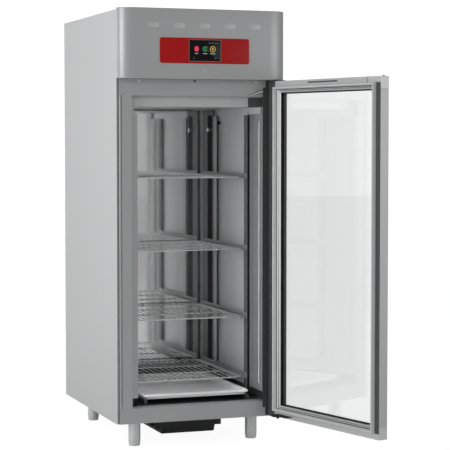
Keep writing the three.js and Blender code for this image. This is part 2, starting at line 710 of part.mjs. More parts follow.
addPiece('evaporator_cover', evaporatorCover(), 'steel');

// Driver box of the lamps in the cover's front right corner, with fine cooling slots
const DRIVER_SLOTS = 5;
const DRIVER_SLOT = 2;
const DRIVER_EDGE = 6;

function lampDriver() {
  const near = coverNear;
  const x = [notchX + CLEAR, coverHalf];
  const z = [coverBase, coverTop];
  let box = block(x, [near, near + DRIVER_LENGTH - CLEAR], z);
  const pitch = (x[1] - x[0] - 2 * DRIVER_EDGE) / DRIVER_SLOTS;
  for (let index = 0; index < DRIVER_SLOTS; index += 1) {
    const left = x[0] + DRIVER_EDGE + (index + 0.5) * pitch - DRIVER_SLOT / 2;
    const run = [z[0] + DRIVER_EDGE, z[1] - DRIVER_EDGE];
    box = box.subtract(block([left, left + DRIVER_SLOT], [near - CUT, near + DRIVER_SLOT], run));
  }
  return box;
}

addPiece('lamp_driver', lampDriver(), 'driver');

// Fan wheel: twisted blades around a hub, turning about a vertical or level axis at the origin
function fanWheel(radius) {
  let wheel = rodZ(0, 0, FAN_HUB, [-FAN_THICK / 2, FAN_THICK / 2], 16);
  for (let index = 0; index < BLADE_COUNT; index += 1) {
    const turn = (index / BLADE_COUNT) * 2 * Math.PI;
    const root = BLADE_ROOT_SHARE * FAN_HUB;
    const blade = new THREE.Shape();
    blade.moveTo(root, -FAN_HUB / 2);
    blade.absarc(0, 0, radius, -Math.PI / 9, Math.PI / 9);
    blade.lineTo(root, FAN_HUB / 2);
    const run = { depth: BLADE_SHEET, bevelEnabled: false, curveSegments: 4 };
    const geometry = new THREE.ExtrudeGeometry(blade, run);
    geometry.translate(0, 0, -BLADE_SHEET / 2);
    geometry.rotateX(THREE.MathUtils.degToRad(BLADE_TWIST));
    geometry.rotateZ(turn);
    wheel = wheel.add(solid(geometry));
  }
  return wheel;
}

const COIL_INSET = 70; // between its end and the chamber's side wall
const COIL_AHEAD = 170; // front edge ahead of the cover's rear
const COIL_DEPTH = 110;
const COIL_FOOT = 4;
const FIN_COUNT = 9;
const FIN_SHEET = 3;
const TUBE_RADIUS = 5;
const TUBE_ROWS = 2;
const TUBE_SIDES = 6;

// Finned coil: level tubes through upright fins between two end plates
function finnedCoil([x0, x1], [y0, y1], [z0, z1]) {
  const pitch = (x1 - x0 - FIN_SHEET) / (FIN_COUNT - 1);
  let coil = null;
  for (let row = 0; row < TUBE_ROWS; row += 1) {
    const y = y0 + ((row + 0.5) / TUBE_ROWS) * (y1 - y0);
    const tube = rodX(y, (z0 + z1) / 2, TUBE_RADIUS, [x0 + CLEAR, x1 - CLEAR], TUBE_SIDES);
    coil = coil ? coil.add(tube) : tube;
  }
  for (let index = 0; index < FIN_COUNT; index += 1) {
    const x = x0 + index * pitch;
    coil = coil.add(block([x, x + FIN_SHEET], [y0, y1], [z0, z1]));
  }
  return coil;
}

const coilBase = coverBase + COVER_SHEET + CLEAR;
const coilHalf = INNER_HALF - COIL_INSET;
addPiece(
  'evaporator_coil',
  finnedCoil(
    [-coilHalf, coilHalf],
    [coverFar - COIL_AHEAD, coverFar - COIL_AHEAD + COIL_DEPTH],
    [coilBase, CEILING - COIL_FOOT],
  ),
  'copper',
);

const evaporatorFan = new THREE.Group();
const evaporatorFanHeight = (coilBase + CEILING) / 2;
evaporatorFan.position.set(0, evaporatorFanY, evaporatorFanHeight);
cabinet.add(evaporatorFan);
const AXLE_RADIUS = 4;
const evaporatorAxle = rodZ(0, 0, AXLE_RADIUS, [0, coverTop - evaporatorFanHeight], 8);
addPiece('evaporator_fan', fanWheel(FAN_RADIUS).add(evaporatorAxle), 'charcoal', evaporatorFan);

// Header: a deep cowl with large upright corners over the cooling compartment
const HEADER_PROUD = 55; // header's face in front of the frame
const HEADER_CORNER = 84; // corner's run along the front
const HEADER_CORNER_DEPTH = 50;
const HEADER_FLANGE = 30;
const MARK_COUNT = 5;
const MARK_PITCH = 118;
const MARK_RISE = 238; // marks above the header's lower edge
const MARK_LENGTH = 34;
const MARK_WIDTH = 10;
const MARK_DEPTH = 0.4;
const FASCIA_WIDTH = 416;
const FASCIA_RISE = 68; // fascia above the header's lower edge
const FASCIA_HEIGHT = 112;
const FASCIA_CORNER = 10;
const FASCIA_THICK = 3;
const SCREEN_WIDTH = 146;
const SCREEN_RISE = 11; // screen above the fascia's lower edge
const SCREEN_HEIGHT = 92;
const SCREEN_CORNER = 3;
const SCREEN_PROUD = 1;
const LOCK_RISE = 38; // lock above the header's lower edge
const LOCK_RADIUS = 9;
const LOCK_PROUD = 4;
const LOCK_KEYWAY = 1.6;
const LOCK_CAM = 26;
const LOCK_CAM_WIDTH = 9;
const LOCK_CAM_SHEET = 3;
const LOCK_REACH = 14; // barrel behind the cowl's sheet

const headerFront = FRONT - HEADER_PROUD;
const headerTop = BODY_TOP + HEADER_RISE;
const headerBack = FRONT - CLEAR;

function cowlPlan(inset) {
  const x = HALF_W - inset;
  const front = headerFront + inset;
  const run = HEADER_CORNER - inset;
  const depth = HEADER_CORNER_DEPTH - inset;
  const shape = new THREE.Shape();
  shape.moveTo(x, headerBack - inset);
  shape.lineTo(-x, headerBack - inset);
  shape.lineTo(-x, front + depth);
  shape.absellipse(-x + run, front + depth, run, depth, Math.PI, 1.5 * Math.PI);
  shape.lineTo(x - run, front);
  shape.absellipse(x - run, front + depth, run, depth, -Math.PI / 2, 0);
  return shape;
}

const fasciaX = [-FASCIA_WIDTH / 2, FASCIA_WIDTH / 2];
const fasciaBase = HEADER_BASE + FASCIA_RISE;
const fasciaZ = [fasciaBase, fasciaBase + FASCIA_HEIGHT];
const screenX = [-SCREEN_WIDTH / 2, SCREEN_WIDTH / 2];
const screenZ = [fasciaBase + SCREEN_RISE, fasciaBase + SCREEN_RISE + SCREEN_HEIGHT];
const fasciaFront = headerFront - CLEAR - FASCIA_THICK;
const lockZ = HEADER_BASE + LOCK_RISE;

function headerCowl() {
  const shell = upright(cowlPlan(0), [HEADER_BASE, headerTop], 8);
  const hollow = upright(cowlPlan(SHEET), [HEADER_BASE + SHEET, headerTop - SHEET], 8);
  const rear = block(
    [-HALF_W + HEADER_FLANGE, HALF_W - HEADER_FLANGE],
    [headerBack - 2 * SHEET, headerBack + CUT],
    [HEADER_BASE + HEADER_FLANGE, headerTop - HEADER_FLANGE],
  );
  const throughSheet = [headerFront - CUT, headerFront + SHEET + CUT];
  const window = alongY(
    roundedRect(
      [fasciaX[0] + FASCIA_CORNER, fasciaX[1] - FASCIA_CORNER],
      [fasciaZ[0] + FASCIA_CORNER, fasciaZ[1] - FASCIA_CORNER],
      FASCIA_CORNER,
    ),
    throughSheet,
  );
  const lockHole = rodY(0, lockZ, LOCK_RADIUS + CLEAR, throughSheet, 16);
  let cowl = shell.subtract(hollow).subtract(rear).subtract(window).subtract(lockHole);
  const markZ = HEADER_BASE + MARK_RISE;
  const markHalf = MARK_WIDTH / 2;
  for (let index = 0; index < MARK_COUNT; index += 1) {
    const x = (index - (MARK_COUNT - 1) / 2) * MARK_PITCH;
    const pill = roundedRect(
      [x - MARK_LENGTH / 2, x + MARK_LENGTH / 2],
      [markZ - markHalf, markZ + markHalf],
      markHalf - CLEAR,
    );
    cowl = cowl.subtract(alongY(pill, [headerFront - CUT, headerFront + MARK_DEPTH], 3));
  }
  return cowl;
}

addPiece('header_cowl', headerCowl(), 'steel');

// Red control fascia: a plate on the cowl whose boss carries the screen through the window
function controlFascia() {
  const plate = alongY(roundedRect(fasciaX, fasciaZ, FASCIA_CORNER), [fasciaFront, headerFront - CLEAR], 4);
  const inset = 2 * (FASCIA_CORNER + CLEAR);
  const boss = block(
    [fasciaX[0] + inset, fasciaX[1] - inset],
    [headerFront - CUT, headerFront + SHEET + CLEAR],
    [fasciaZ[0] + inset, fasciaZ[1] - inset],
  );
  const seat = block(
    [screenX[0] - CLEAR, screenX[1] + CLEAR],
    [fasciaFront - CUT, headerFront - CLEAR],
    [screenZ[0] - CLEAR, screenZ[1] + CLEAR],
  );
  return plate.add(boss).subtract(seat);
}

function touchScreen() {
  const run = [fasciaFront - SCREEN_PROUD, headerFront - 2 * CLEAR];
  return alongY(roundedRect(screenX, screenZ, SCREEN_CORNER), run, 3);
}

addPiece('control_fascia', controlFascia(), 'red');
addPiece('touch_screen', touchScreen(), 'screen');

function lockBarrel() {
  const nose = headerFront - LOCK_PROUD;
  const back = headerFront + SHEET + LOCK_REACH;
  const keyway = block(
    [-LOCK_KEYWAY / 2, LOCK_KEYWAY / 2],
    [nose - CUT, nose + LOCK_PROUD],
    [-LOCK_RADIUS / 2, LOCK_RADIUS / 2],
  );
  const cam = block(
    [-LOCK_CAM_WIDTH / 2, LOCK_CAM_WIDTH / 2],
    [back - LOCK_CAM_SHEET, back],
    [-LOCK_CAM, LOCK_CAM_WIDTH / 2],
  );
  return rodY(0, 0, LOCK_RADIUS, [nose, back], 20).subtract(keyway).add(cam);
}

const lock = new THREE.Group();
lock.position.set(0, 0, lockZ);
cabinet.add(lock);
addPiece('lock_barrel', lockBarrel(), 'wire', lock);

// Cooling set on the deck: compressor, condenser with shroud, and its fan
const COMPRESSOR_X = -150;
const COMPRESSOR_Y = 60;
const COMPRESSOR_RADIUS = 85;
const COMPRESSOR_HEIGHT = 190;
const COMPRESSOR_FOOT = 105;
const COMPRESSOR_PLATE = 6;
const DOME_SHARES = [[0, 1], [0.45, 0.97], [0.8, 0.86], [1, 0.68], [1, 0.2], [0.9, 0.06]];
const CONDENSER_WIDTH = 300;
const CONDENSER_INSET = 50; // inside the body's right side
const CONDENSER_Y = [-60, -10];
const CONDENSER_HEIGHT = 230;
const SHROUD_DEPTH = 40;
const SHROUD_SHEET = 3;
const COND_FAN_RADIUS = 95;
const SPIDER_HALF = 7; // half width of the bar that carries the fan

function compressor() {
  const deck = HEADER_BASE + CLEAR;
  const profile = DOME_SHARES.map(([radial, rise]) => (
    new THREE.Vector2(radial * COMPRESSOR_RADIUS, rise * COMPRESSOR_HEIGHT)
  ));
  profile.push(new THREE.Vector2(0, 0));
  const dome = new THREE.LatheGeometry(profile.reverse(), 20);
  dome.rotateX(Math.PI / 2);
  dome.translate(COMPRESSOR_X, COMPRESSOR_Y, deck);
  const foot = COMPRESSOR_FOOT;
  const plate = block(
    [COMPRESSOR_X - foot, COMPRESSOR_X + foot],
    [COMPRESSOR_Y - foot, COMPRESSOR_Y + foot],
    [deck, deck + COMPRESSOR_PLATE],
  );
  return solid(dome).add(plate);
}

addPiece('compressor', compressor(), 'black');

const condenserX = [HALF_W - CONDENSER_INSET - CONDENSER_WIDTH, HALF_W - CONDENSER_INSET];
const condenserZ = [HEADER_BASE + CLEAR, HEADER_BASE + CLEAR + CONDENSER_HEIGHT];
const fanX = (condenserX[0] + condenserX[1]) / 2;
const fanZ = (condenserZ[0] + condenserZ[1]) / 2;

function condenser() {
  const coil = finnedCoil(condenserX, CONDENSER_Y, condenserZ);
  const shroudY = [CONDENSER_Y[1] - CUT, CONDENSER_Y[1] + SHROUD_DEPTH];
  const shroud = block(condenserX, shroudY, condenserZ);
  const bore = rodY(fanX, fanZ, COND_FAN_RADIUS + FAN_GAP, [shroudY[0] - CUT, shroudY[1] + CUT], 28);
  const spiderY = [shroudY[0], shroudY[0] + SHROUD_SHEET];
  const bar = block(condenserX, spiderY, [fanZ - SPIDER_HALF, fanZ + SPIDER_HALF]);
  const disc = rodY(fanX, fanZ, FAN_HUB, spiderY, 16);
  return join(coil, shroud.subtract(bore), bar, disc);
}

addPiece('condenser', condenser(), 'copper');

const condenserFan = new THREE.Group();
const condenserFanY = CONDENSER_Y[1] + SHROUD_DEPTH / 2;
condenserFan.position.set(fanX, condenserFanY, fanZ);
condenserFan.rotation.x = Math.PI / 2;
cabinet.add(condenserFan);
const spiderFace = CONDENSER_Y[1] - CUT + SHROUD_SHEET + CLEAR;
const condenserAxle = rodZ(0, 0, AXLE_RADIUS, [0, condenserFanY - spiderFace], 8);
addPiece('condenser_fan', fanWheel(COND_FAN_RADIUS).add(condenserAxle), 'charcoal', condenserFan);

// Legs: a tube with a screw plate on top and a rounded levelling foot at the sole
const LEG_INSET = 110; // leg axes inside the body's sides, front and rear
const LEG_RADIUS = 27;
const LEG_PLATE = 42;
const LEG_PLATE_THICK = 4;
const FOOT_RADIUS = 24;
const FOOT_RISE = 14;
const FOOT_SOLE = 19;
const FOOT_ROUND = 4;
const LEG_LIP = 1.5;

const legX = HALF_W - LEG_INSET;
const legY = HALF_D - LEG_INSET;

function leg(x, y) {
  const top = BODY_BASE - CLEAR;
  const profile = [
    [0, 0], [FOOT_SOLE, 0], [FOOT_RADIUS, FOOT_ROUND], [FOOT_RADIUS, FOOT_RISE],
    [LEG_RADIUS - LEG_LIP, FOOT_RISE], [LEG_RADIUS, FOOT_RISE + LEG_LIP],
    [LEG_RADIUS, top - LEG_PLATE_THICK], [LEG_PLATE, top - LEG_PLATE_THICK], [LEG_PLATE, top], [0, top],
  ].map(([radius, height]) => new THREE.Vector2(radius, height));
  const geometry = new THREE.LatheGeometry(profile, 24);
  geometry.rotateX(Math.PI / 2);
  geometry.translate(x, y, 0);
  return solid(geometry);
}

for (const side of [-1, 1]) {
  addPiece(`leg_front_${sideName(side)}`, leg(side * legX, -legY), 'steel');
  addPiece(`leg_rear_${sideName(side)}`, leg(side * legX, legY), 'steel');
}

// Hinge plates: black steel arms above and below the door, each with the pivot pin
const PIN_RADIUS = 7;
const PIN_LENGTH = 24;
const PIN_TAIL = 10; // end of the lower pin under its plate
const PLATE_THICK = 4;
const PLATE_REACH = 24; // plate ahead of the pivot axis
const PLATE_HALF = 30;
const pivotX = HALF_W - DOOR_MARGIN - PIVOT_INSET;
const pivotY = FRONT - DOOR_GAP - PIVOT_DEPTH;

const topPlateZ = [HEADER_BASE - CLEAR - PLATE_THICK, HEADER_BASE - CLEAR];
const basePlateZ = [DOOR_BASE - CLEAR - PLATE_THICK, DOOR_BASE - CLEAR];

function hingePlate([z0, z1], pin, root) {
  const x = [pivotX - PLATE_HALF, pivotX + PLATE_HALF];
  const shape = roundedRect(x, [pivotY - PLATE_REACH, root], PIN_RADIUS);
  return upright(shape, [z0, z1], 4).add(rodZ(pivotX, pivotY, PIN_RADIUS, pin, 16));
}

const frontGap = FRONT - CLEAR;
const topPin = [topPlateZ[0] - PIN_LENGTH, topPlateZ[1]];
const basePin = [basePlateZ[0] - PIN_TAIL, basePlateZ[1] + PIN_LENGTH];
addPiece('hinge_plate_top', hingePlate(topPlateZ, topPin, frontGap), 'black');
addPiece('hinge_plate_bottom', hingePlate(basePlateZ, basePin, frontGap), 'black');

// Door leaf, drawn closed about the pivot axis and then turned to its rest angle.
// Local x runs from the pivot towards the hinge edge, local y towards the cabinet.
const hingeEdge = PIVOT_INSET;
const freeEdge = hingeEdge - (BODY_WIDTH - 2 * DOOR_MARGIN);
const innerFace = PIVOT_DEPTH;
const outerFace = innerFace - DOOR_THICK;
const glassInner = innerFace - GLASS_RECESS;
const glassOuter = glassInner - GLASS_THICK;
const EDGE_ROUND = 5; // chamfer along the outer face's upright edges
const GLAZING_SLOPE = 14; // width of the sloped bead around the pane
const GLAZING_DROP = 10;

const door = new THREE.Group();
door.position.set(pivotX, pivotY, 0);
door.rotation.z = THREE.MathUtils.degToRad(DOOR_ANGLE);
cabinet.add(door);

const daylightX = [freeEdge + DOOR_BORDER, hingeEdge - HINGE_BORDER];
const daylightZ = [DOOR_BASE + DOOR_BORDER, DOOR_TOP - DOOR_BORDER];
const glassX = [daylightX[0] - GLASS_SEAT, daylightX[1] + GLASS_SEAT];
const glassZ = [daylightZ[0] - GLASS_SEAT, daylightZ[1] + GLASS_SEAT];

// The hollow inside the frame members, open to the pane's seat
function frameHollow() {
  const run = [outerFace + DOOR_SHEET, innerFace - DOOR_SHEET];
  const outer = block(
    [freeEdge + DOOR_SHEET, hingeEdge - DOOR_SHEET],
    run,
    [DOOR_BASE + DOOR_SHEET, DOOR_TOP - DOOR_SHEET],
  );
  const ledge = GLAZING_SLOPE + DOOR_SHEET;
  const core = block(
    [daylightX[0] - ledge, daylightX[1] + ledge],
    [run[0] - CUT, run[1] + CUT],
    [daylightZ[0] - ledge, daylightZ[1] + ledge],
  );
  return outer.subtract(core);
}

// The pane's seat and the sloped daylight, cut through all four frame members
function glazingCut() {
  const grow = ([low, high], by) => [low - by, high + by];
  const seat = block(grow(glassX, CLEAR), [glassOuter - CLEAR, glassInner + CLEAR], grow(glassZ, CLEAR));
  const through = block(daylightX, [outerFace - CUT, innerFace + CUT], daylightZ);
  const [x0, x1] = daylightX;
  const [z0, z1] = daylightZ;
  const mouth = new THREE.ExtrudeGeometry(outline([[x0, z0], [x1, z0], [x1, z1], [x0, z1]]), {
    depth: CUT, bevelEnabled: true, bevelSegments: 1, bevelSize: GLAZING_SLOPE, bevelThickness: GLAZING_DROP,
  });
  mouth.rotateX(Math.PI / 2);
  mouth.translate(0, innerFace + CUT, 0);
  return join(seat, through, solid(mouth), frameHollow());
}

// Plan section of the leaf between two upright lines, chamfered where it meets a door edge
function leafPlan(x0, x1) {
  const left = x0 === freeEdge ? EDGE_ROUND : 0;
  const right = x1 === hingeEdge ? EDGE_ROUND : 0;
  const points = [[x0, innerFace], [x0, outerFace + left]];
  if (left > 0) points.push([x0 + left, outerFace]);
  points.push([x1 - right, outerFace]);
  if (right > 0) points.push([x1, outerFace + right]);
  points.push([x1, innerFace]);
  return outline(points);
}

function doorRail(outerZ, inward) {
  const bar = upright(leafPlan(freeEdge, hingeEdge), between(outerZ, outerZ + inward * DOOR_BORDER));
  const pinRun = between(outerZ - inward * CUT, outerZ + inward * (PIN_LENGTH + CUT));
  const pinHole = rodZ(0, 0, PIN_RADIUS + CLEAR, pinRun, 20);
  return bar.subtract(glazingCut()).subtract(pinHole);
}

function doorStile(x0, x1) {
  return upright(leafPlan(x0, x1), [daylightZ[0] + CLEAR, daylightZ[1] - CLEAR]).subtract(glazingCut());
}

addPiece('door_stile_hinge', doorStile(daylightX[1], hingeEdge), 'steel', door);
addPiece('door_stile_handle', doorStile(freeEdge, daylightX[0]), 'steel', door);
addPiece('door_rail_top', doorRail(DOOR_TOP, -1), 'steel', door);
addPiece('door_rail_bottom', doorRail(DOOR_BASE, 1), 'steel', door);

// Double glazing: two panes with a spacer on three sides, open at the lower edge in the rail
function doorGlass() {
  const air = block(
    [glassX[0] + PANE_EDGE, glassX[1] - PANE_EDGE],
    [glassOuter + PANE, glassInner - PANE],
    [glassZ[0] - CUT, glassZ[1] - PANE_EDGE],
  );
  return block(glassX, [glassOuter, glassInner], glassZ).subtract(air);
}

addPiece('door_glass', doorGlass(), 'glass', door);

// Dark cover strips along the door's upright edges, and a seal that runs round inside them
const faceRoot = innerFace + CLEAR;
const stripFace = faceRoot + EDGE_STRIP_THICK;
const stripZ = [DOOR_BASE + RAIL_STRIP, DOOR_TOP - RAIL_STRIP];
const freeStrip = [freeEdge, freeEdge + EDGE_STRIP_FREE];
const hingeStrip = [hingeEdge - EDGE_STRIP_HINGE, hingeEdge];
const stripRun = [faceRoot, stripFace];
addPiece('edge_strip_handle', block(freeStrip, stripRun, stripZ), 'charcoal', door);
addPiece('edge_strip_hinge', block(hingeStrip, stripRun, [DOOR_BASE, DOOR_TOP]), 'charcoal', door);

// Section of the seal: a wide root, shoulders and a slim lip that meets the closed frame
function sealSection(start, inward) {
  const narrow = (SEAL_WIDTH - SEAL_LIP) / 2;
  return [
    [0, 0], [SEAL_WIDTH, 0], [SEAL_WIDTH, SEAL_ROOT], [SEAL_WIDTH - narrow, SEAL_SHOULDER],
    [SEAL_WIDTH - narrow, SEAL_PROUD], [narrow, SEAL_PROUD], [narrow, SEAL_SHOULDER], [0, SEAL_ROOT],
  ].map(([across, proud]) => [start + inward * across, proud ? innerFace + proud : faceRoot]);
}

const uprightSeal = (start, inward) => upright(outline(sealSection(start, inward)), stripZ);

function levelSeal(start, inward) {
  const x0 = freeStrip[1] + CLEAR + SEAL_WIDTH / 2;
  const x1 = hingeStrip[0] - CLEAR - SEAL_WIDTH / 2;
  const section = sealSection(start, inward).map(([z, y]) => [y, z]);
  const geometry = new THREE.ExtrudeGeometry(outline(section), { depth: x1 - x0, bevelEnabled: false });
  geometry.applyMatrix4(new THREE.Matrix4().set(0, 0, 1, x0, 1, 0, 0, 0, 0, 1, 0, 0, 0, 0, 0, 1));
  return solid(geometry);
}

const doorSeal = join(
  uprightSeal(freeStrip[1] + CLEAR, 1),
  uprightSeal(hingeStrip[0] - CLEAR, -1),
  levelSeal(stripZ[1], -1),
  levelSeal(stripZ[0], 1),
);
addPiece('door_seal', doorSeal, 'greySeal', door);

cabinet.position.set(legX, legY, 0);

const part = new THREE.Group();
part.add(cabinet);
export default part;
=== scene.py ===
import json
import math

import bmesh
import bpy
from mathutils import Matrix, Vector


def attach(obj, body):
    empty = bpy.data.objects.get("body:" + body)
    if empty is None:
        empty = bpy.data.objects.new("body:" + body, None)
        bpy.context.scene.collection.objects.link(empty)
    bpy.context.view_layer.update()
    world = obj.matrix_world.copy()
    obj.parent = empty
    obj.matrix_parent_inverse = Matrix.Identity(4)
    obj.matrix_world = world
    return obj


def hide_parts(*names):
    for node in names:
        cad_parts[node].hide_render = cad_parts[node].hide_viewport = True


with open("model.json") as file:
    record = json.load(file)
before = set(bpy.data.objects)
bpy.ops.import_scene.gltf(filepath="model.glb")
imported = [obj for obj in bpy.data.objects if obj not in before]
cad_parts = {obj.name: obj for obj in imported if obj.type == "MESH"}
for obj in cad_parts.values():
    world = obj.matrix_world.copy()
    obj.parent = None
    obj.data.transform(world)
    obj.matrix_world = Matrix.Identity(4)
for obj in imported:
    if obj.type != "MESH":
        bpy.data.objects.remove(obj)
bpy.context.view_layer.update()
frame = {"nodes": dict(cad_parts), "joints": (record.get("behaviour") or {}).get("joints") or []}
nodes = frame["nodes"]

# Casing: folded stainless sheets screwed round the foamed body. The side panels are lipped front
# and rear, the rear panel has pressed louvres, and the roof tray, the base sheet and the deck
# under the cooling set have turned edges. The steel is finely brushed upright.


# A stretched noise that varies a finish's colour, roughness and relief a little.
def grain_group():
    group = bpy.data.node_groups.new("grain", "ShaderNodeTree")
    for name, kind in (
        ("Vector", "NodeSocketVector"),
        ("Stretch", "NodeSocketVector"),
        ("Colour", "NodeSocketColor"),
        ("Variation", "NodeSocketFloat"),
        ("Roughness", "NodeSocketFloat"),
        ("Spread", "NodeSocketFloat"),
        ("Relief", "NodeSocketFloat"),
    ):
        group.interface.new_socket(name=name, in_out="INPUT", socket_type=kind)
    for name, kind in (
        ("Colour", "NodeSocketColor"),
        ("Roughness", "NodeSocketFloat"),
        ("Normal", "NodeSocketVector"),
    ):
        group.interface.new_socket(name=name, in_out="OUTPUT", socket_type=kind)
    into = group.nodes.new("NodeGroupInput")
    out = group.nodes.new("NodeGroupOutput")
    stretch = group.nodes.new("ShaderNodeVectorMath")
    stretch.operation = "MULTIPLY"
    noise = group.nodes.new("ShaderNodeTexNoise")
    noise.inputs["Scale"].default_value = 1.0
    noise.inputs["Detail"].default_value = 3.0
    centred = group.nodes.new("ShaderNodeMath")
    centred.operation = "SUBTRACT"
    centred.inputs[1].default_value = 0.5
    tone = group.nodes.new("ShaderNodeMath")
    tone.operation = "MULTIPLY_ADD"
    tone.inputs[2].default_value = 1.0
    tint = group.nodes.new("ShaderNodeVectorMath")
    tint.operation = "SCALE"
    rough = group.nodes.new("ShaderNodeMath")
    rough.operation = "MULTIPLY_ADD"
    bump = group.nodes.new("ShaderNodeBump")
    bump.inputs["Distance"].default_value = 0.0004
    link = group.links.new
    link(into.outputs["Vector"], stretch.inputs[0])
    link(into.outputs["Stretch"], stretch.inputs[1])
    link(stretch.outputs["Vector"], noise.inputs["Vector"])
    link(noise.outputs["Fac"], centred.inputs[0])
    link(centred.outputs["Value"], tone.inputs[0])
    link(into.outputs["Variation"], tone.inputs[1])
    link(into.outputs["Colour"], tint.inputs[0])
    link(tone.outputs["Value"], tint.inputs["Scale"])
    link(centred.outputs["Value"], rough.inputs[0])
    link(into.outputs["Spread"], rough.inputs[1])
    link(into.outputs["Roughness"], rough.inputs[2])
    link(noise.outputs["Fac"], bump.inputs["Height"])
    link(into.outputs["Relief"], bump.inputs["Strength"])
    link(tint.outputs["Vector"], out.inputs["Colour"])
    link(rough.outputs["Value"], out.inputs["Roughness"])
    link(bump.outputs["Normal"], out.inputs["Normal"])
    return group


grain = grain_group()


def surface(name, colour, roughness, metallic, stretch, variation, spread, relief):
    made = bpy.data.materials.new(name)
    made.use_nodes = True
    tree = made.node_tree
    shader = tree.nodes["Principled BSDF"]
    shader.inputs["Metallic"].default_value = metallic
    place = tree.nodes.new("ShaderNodeTexCoord")
    effect = tree.nodes.new("ShaderNodeGroup")
    effect.node_tree = grain
    effect.inputs["Stretch"].default_value = stretch
    effect.inputs["Colour"].default_value = (*colour, 1.0)
    effect.inputs["Variation"].default_value = variation
    effect.inputs["Roughness"].default_value = roughness
    effect.inputs["Spread"].default_value = spread
    effect.inputs["Relief"].default_value = relief
    tree.links.new(place.outputs["Object"], effect.inputs["Vector"])
    tree.links.new(effect.outputs["Colour"], shader.inputs["Base Color"])
    tree.links.new(effect.outputs["Roughness"], shader.inputs["Roughness"])
    tree.links.new(effect.outputs["Normal"], shader.inputs["Normal"])
    return made


# A CAD node gets its finish and slightly rounded edges.
def dress(name, finish, edge, angle=30):
    node = nodes[name]
    node.data.materials.clear()
    node.data.materials.append(finish)
    split = node.data.attributes.get("custom_normal")
    if split is not None:
        node.data.attributes.remove(split)
    node.data.polygons.foreach_set("use_smooth", [True] * len(node.data.polygons))
    weld = node.modifiers.new("weld", "WELD")
    weld.merge_threshold = 0.00001
    round_off = node.modifiers.new("edges", "BEVEL")
    round_off.width = edge / 1000
    round_off.segments = 2
    round_off.limit_method = "ANGLE"
    round_off.angle_limit = math.radians(angle)
    round_off.harden_normals = True


sheet_edge = 0.3
brushed_up = (900, 900, 8)
steel = surface(
    "outer steel", (0.5, 0.505, 0.51), roughness=0.42, metallic=0.55,
    stretch=brushed_up, variation=0.05, spread=0.08, relief=0.03,
)
panel_steel = surface(
    "panel steel", (0.56, 0.565, 0.57), roughness=0.45, metallic=0.45,
    stretch=brushed_up, variation=0.05, spread=0.08, relief=0.03,
)
for name in ("left_side_panel", "right_side_panel", "rear_panel", "roof_panel", "deck_panel"):
    dress(name, panel_steel, sheet_edge)
dress("base_panel", steel, sheet_edge)

# Legs: steel tubes, each welded to a plate that is screwed to the base sheet. A turned levelling
# foot is screwed in from below and shows as a narrower ring at the floor. From here on places are
# in millimetres: X from the cabinet's middle, Y back from its front frame and Z from the floor.
middle_x, front_y = 280, -110


def millimetres(point):
    x, y, z = point
    return Vector(((x + middle_x) / 1000, (y + front_y) / 1000, z / 1000))


def measured(point):
    x, y, z = point
    return (x * 1000 - middle_x, y * 1000 - front_y, z * 1000)


# The lowest and the highest corner of a CAD node, to a tenth of a millimetre.
def span(name, measure=measured):
    corners = [measure(vertex.co) for vertex in nodes[name].data.vertices]
    low = Vector([round(min(values), 1) for values in zip(*corners)])
    high = Vector([round(max(values), 1) for values in zip(*corners)])
    return low, high


# A finished mesh becomes a piece of the visual model.
def build(name, mesh, finish, body, stands_for=(), crease=32, place=millimetres):
    for vertex in mesh.verts:
        vertex.co = place(vertex.co)
    mesh.normal_update()
    bmesh.ops.recalc_face_normals(mesh, faces=mesh.faces)
    data = bpy.data.meshes.new(name)
    mesh.to_mesh(data)
    mesh.free()
    data.polygons.foreach_set("use_smooth", [True] * len(data.polygons))
    data.set_sharp_from_angle(angle=math.radians(crease))
    data.materials.append(finish)
    piece = bpy.data.objects.new(name, data)
    bpy.context.scene.collection.objects.link(piece)
    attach(piece, body)
    if stands_for:
        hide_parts(*stands_for)


# A profile of radii and distances along the axis is turned once round it.
def turned(mesh, profile, centre, axis="Z", sides=48):
    order = {"X": (1, 0, 2), "Y": (0, 1, 2), "Z": (0, 2, 1)}[axis]
    offsets = [[(radius, along, 0)[at] for at in order] for radius, along in profile]
    chain = [mesh.verts.new(Vector(centre) + Vector(offset)) for offset in offsets]
    edges = [mesh.edges.new(pair) for pair in zip(chain, chain[1:])]
    axle = [(0, 1, 0)[at] for at in order]
    bmesh.ops.spin(
        mesh, geom=chain + edges, cent=centre, axis=axle, angle=2 * math.pi, steps=sides, use_merge=True
    )
    bmesh.ops.edgeloop_fill(mesh, edges=[edge for edge in mesh.edges if edge.is_boundary])


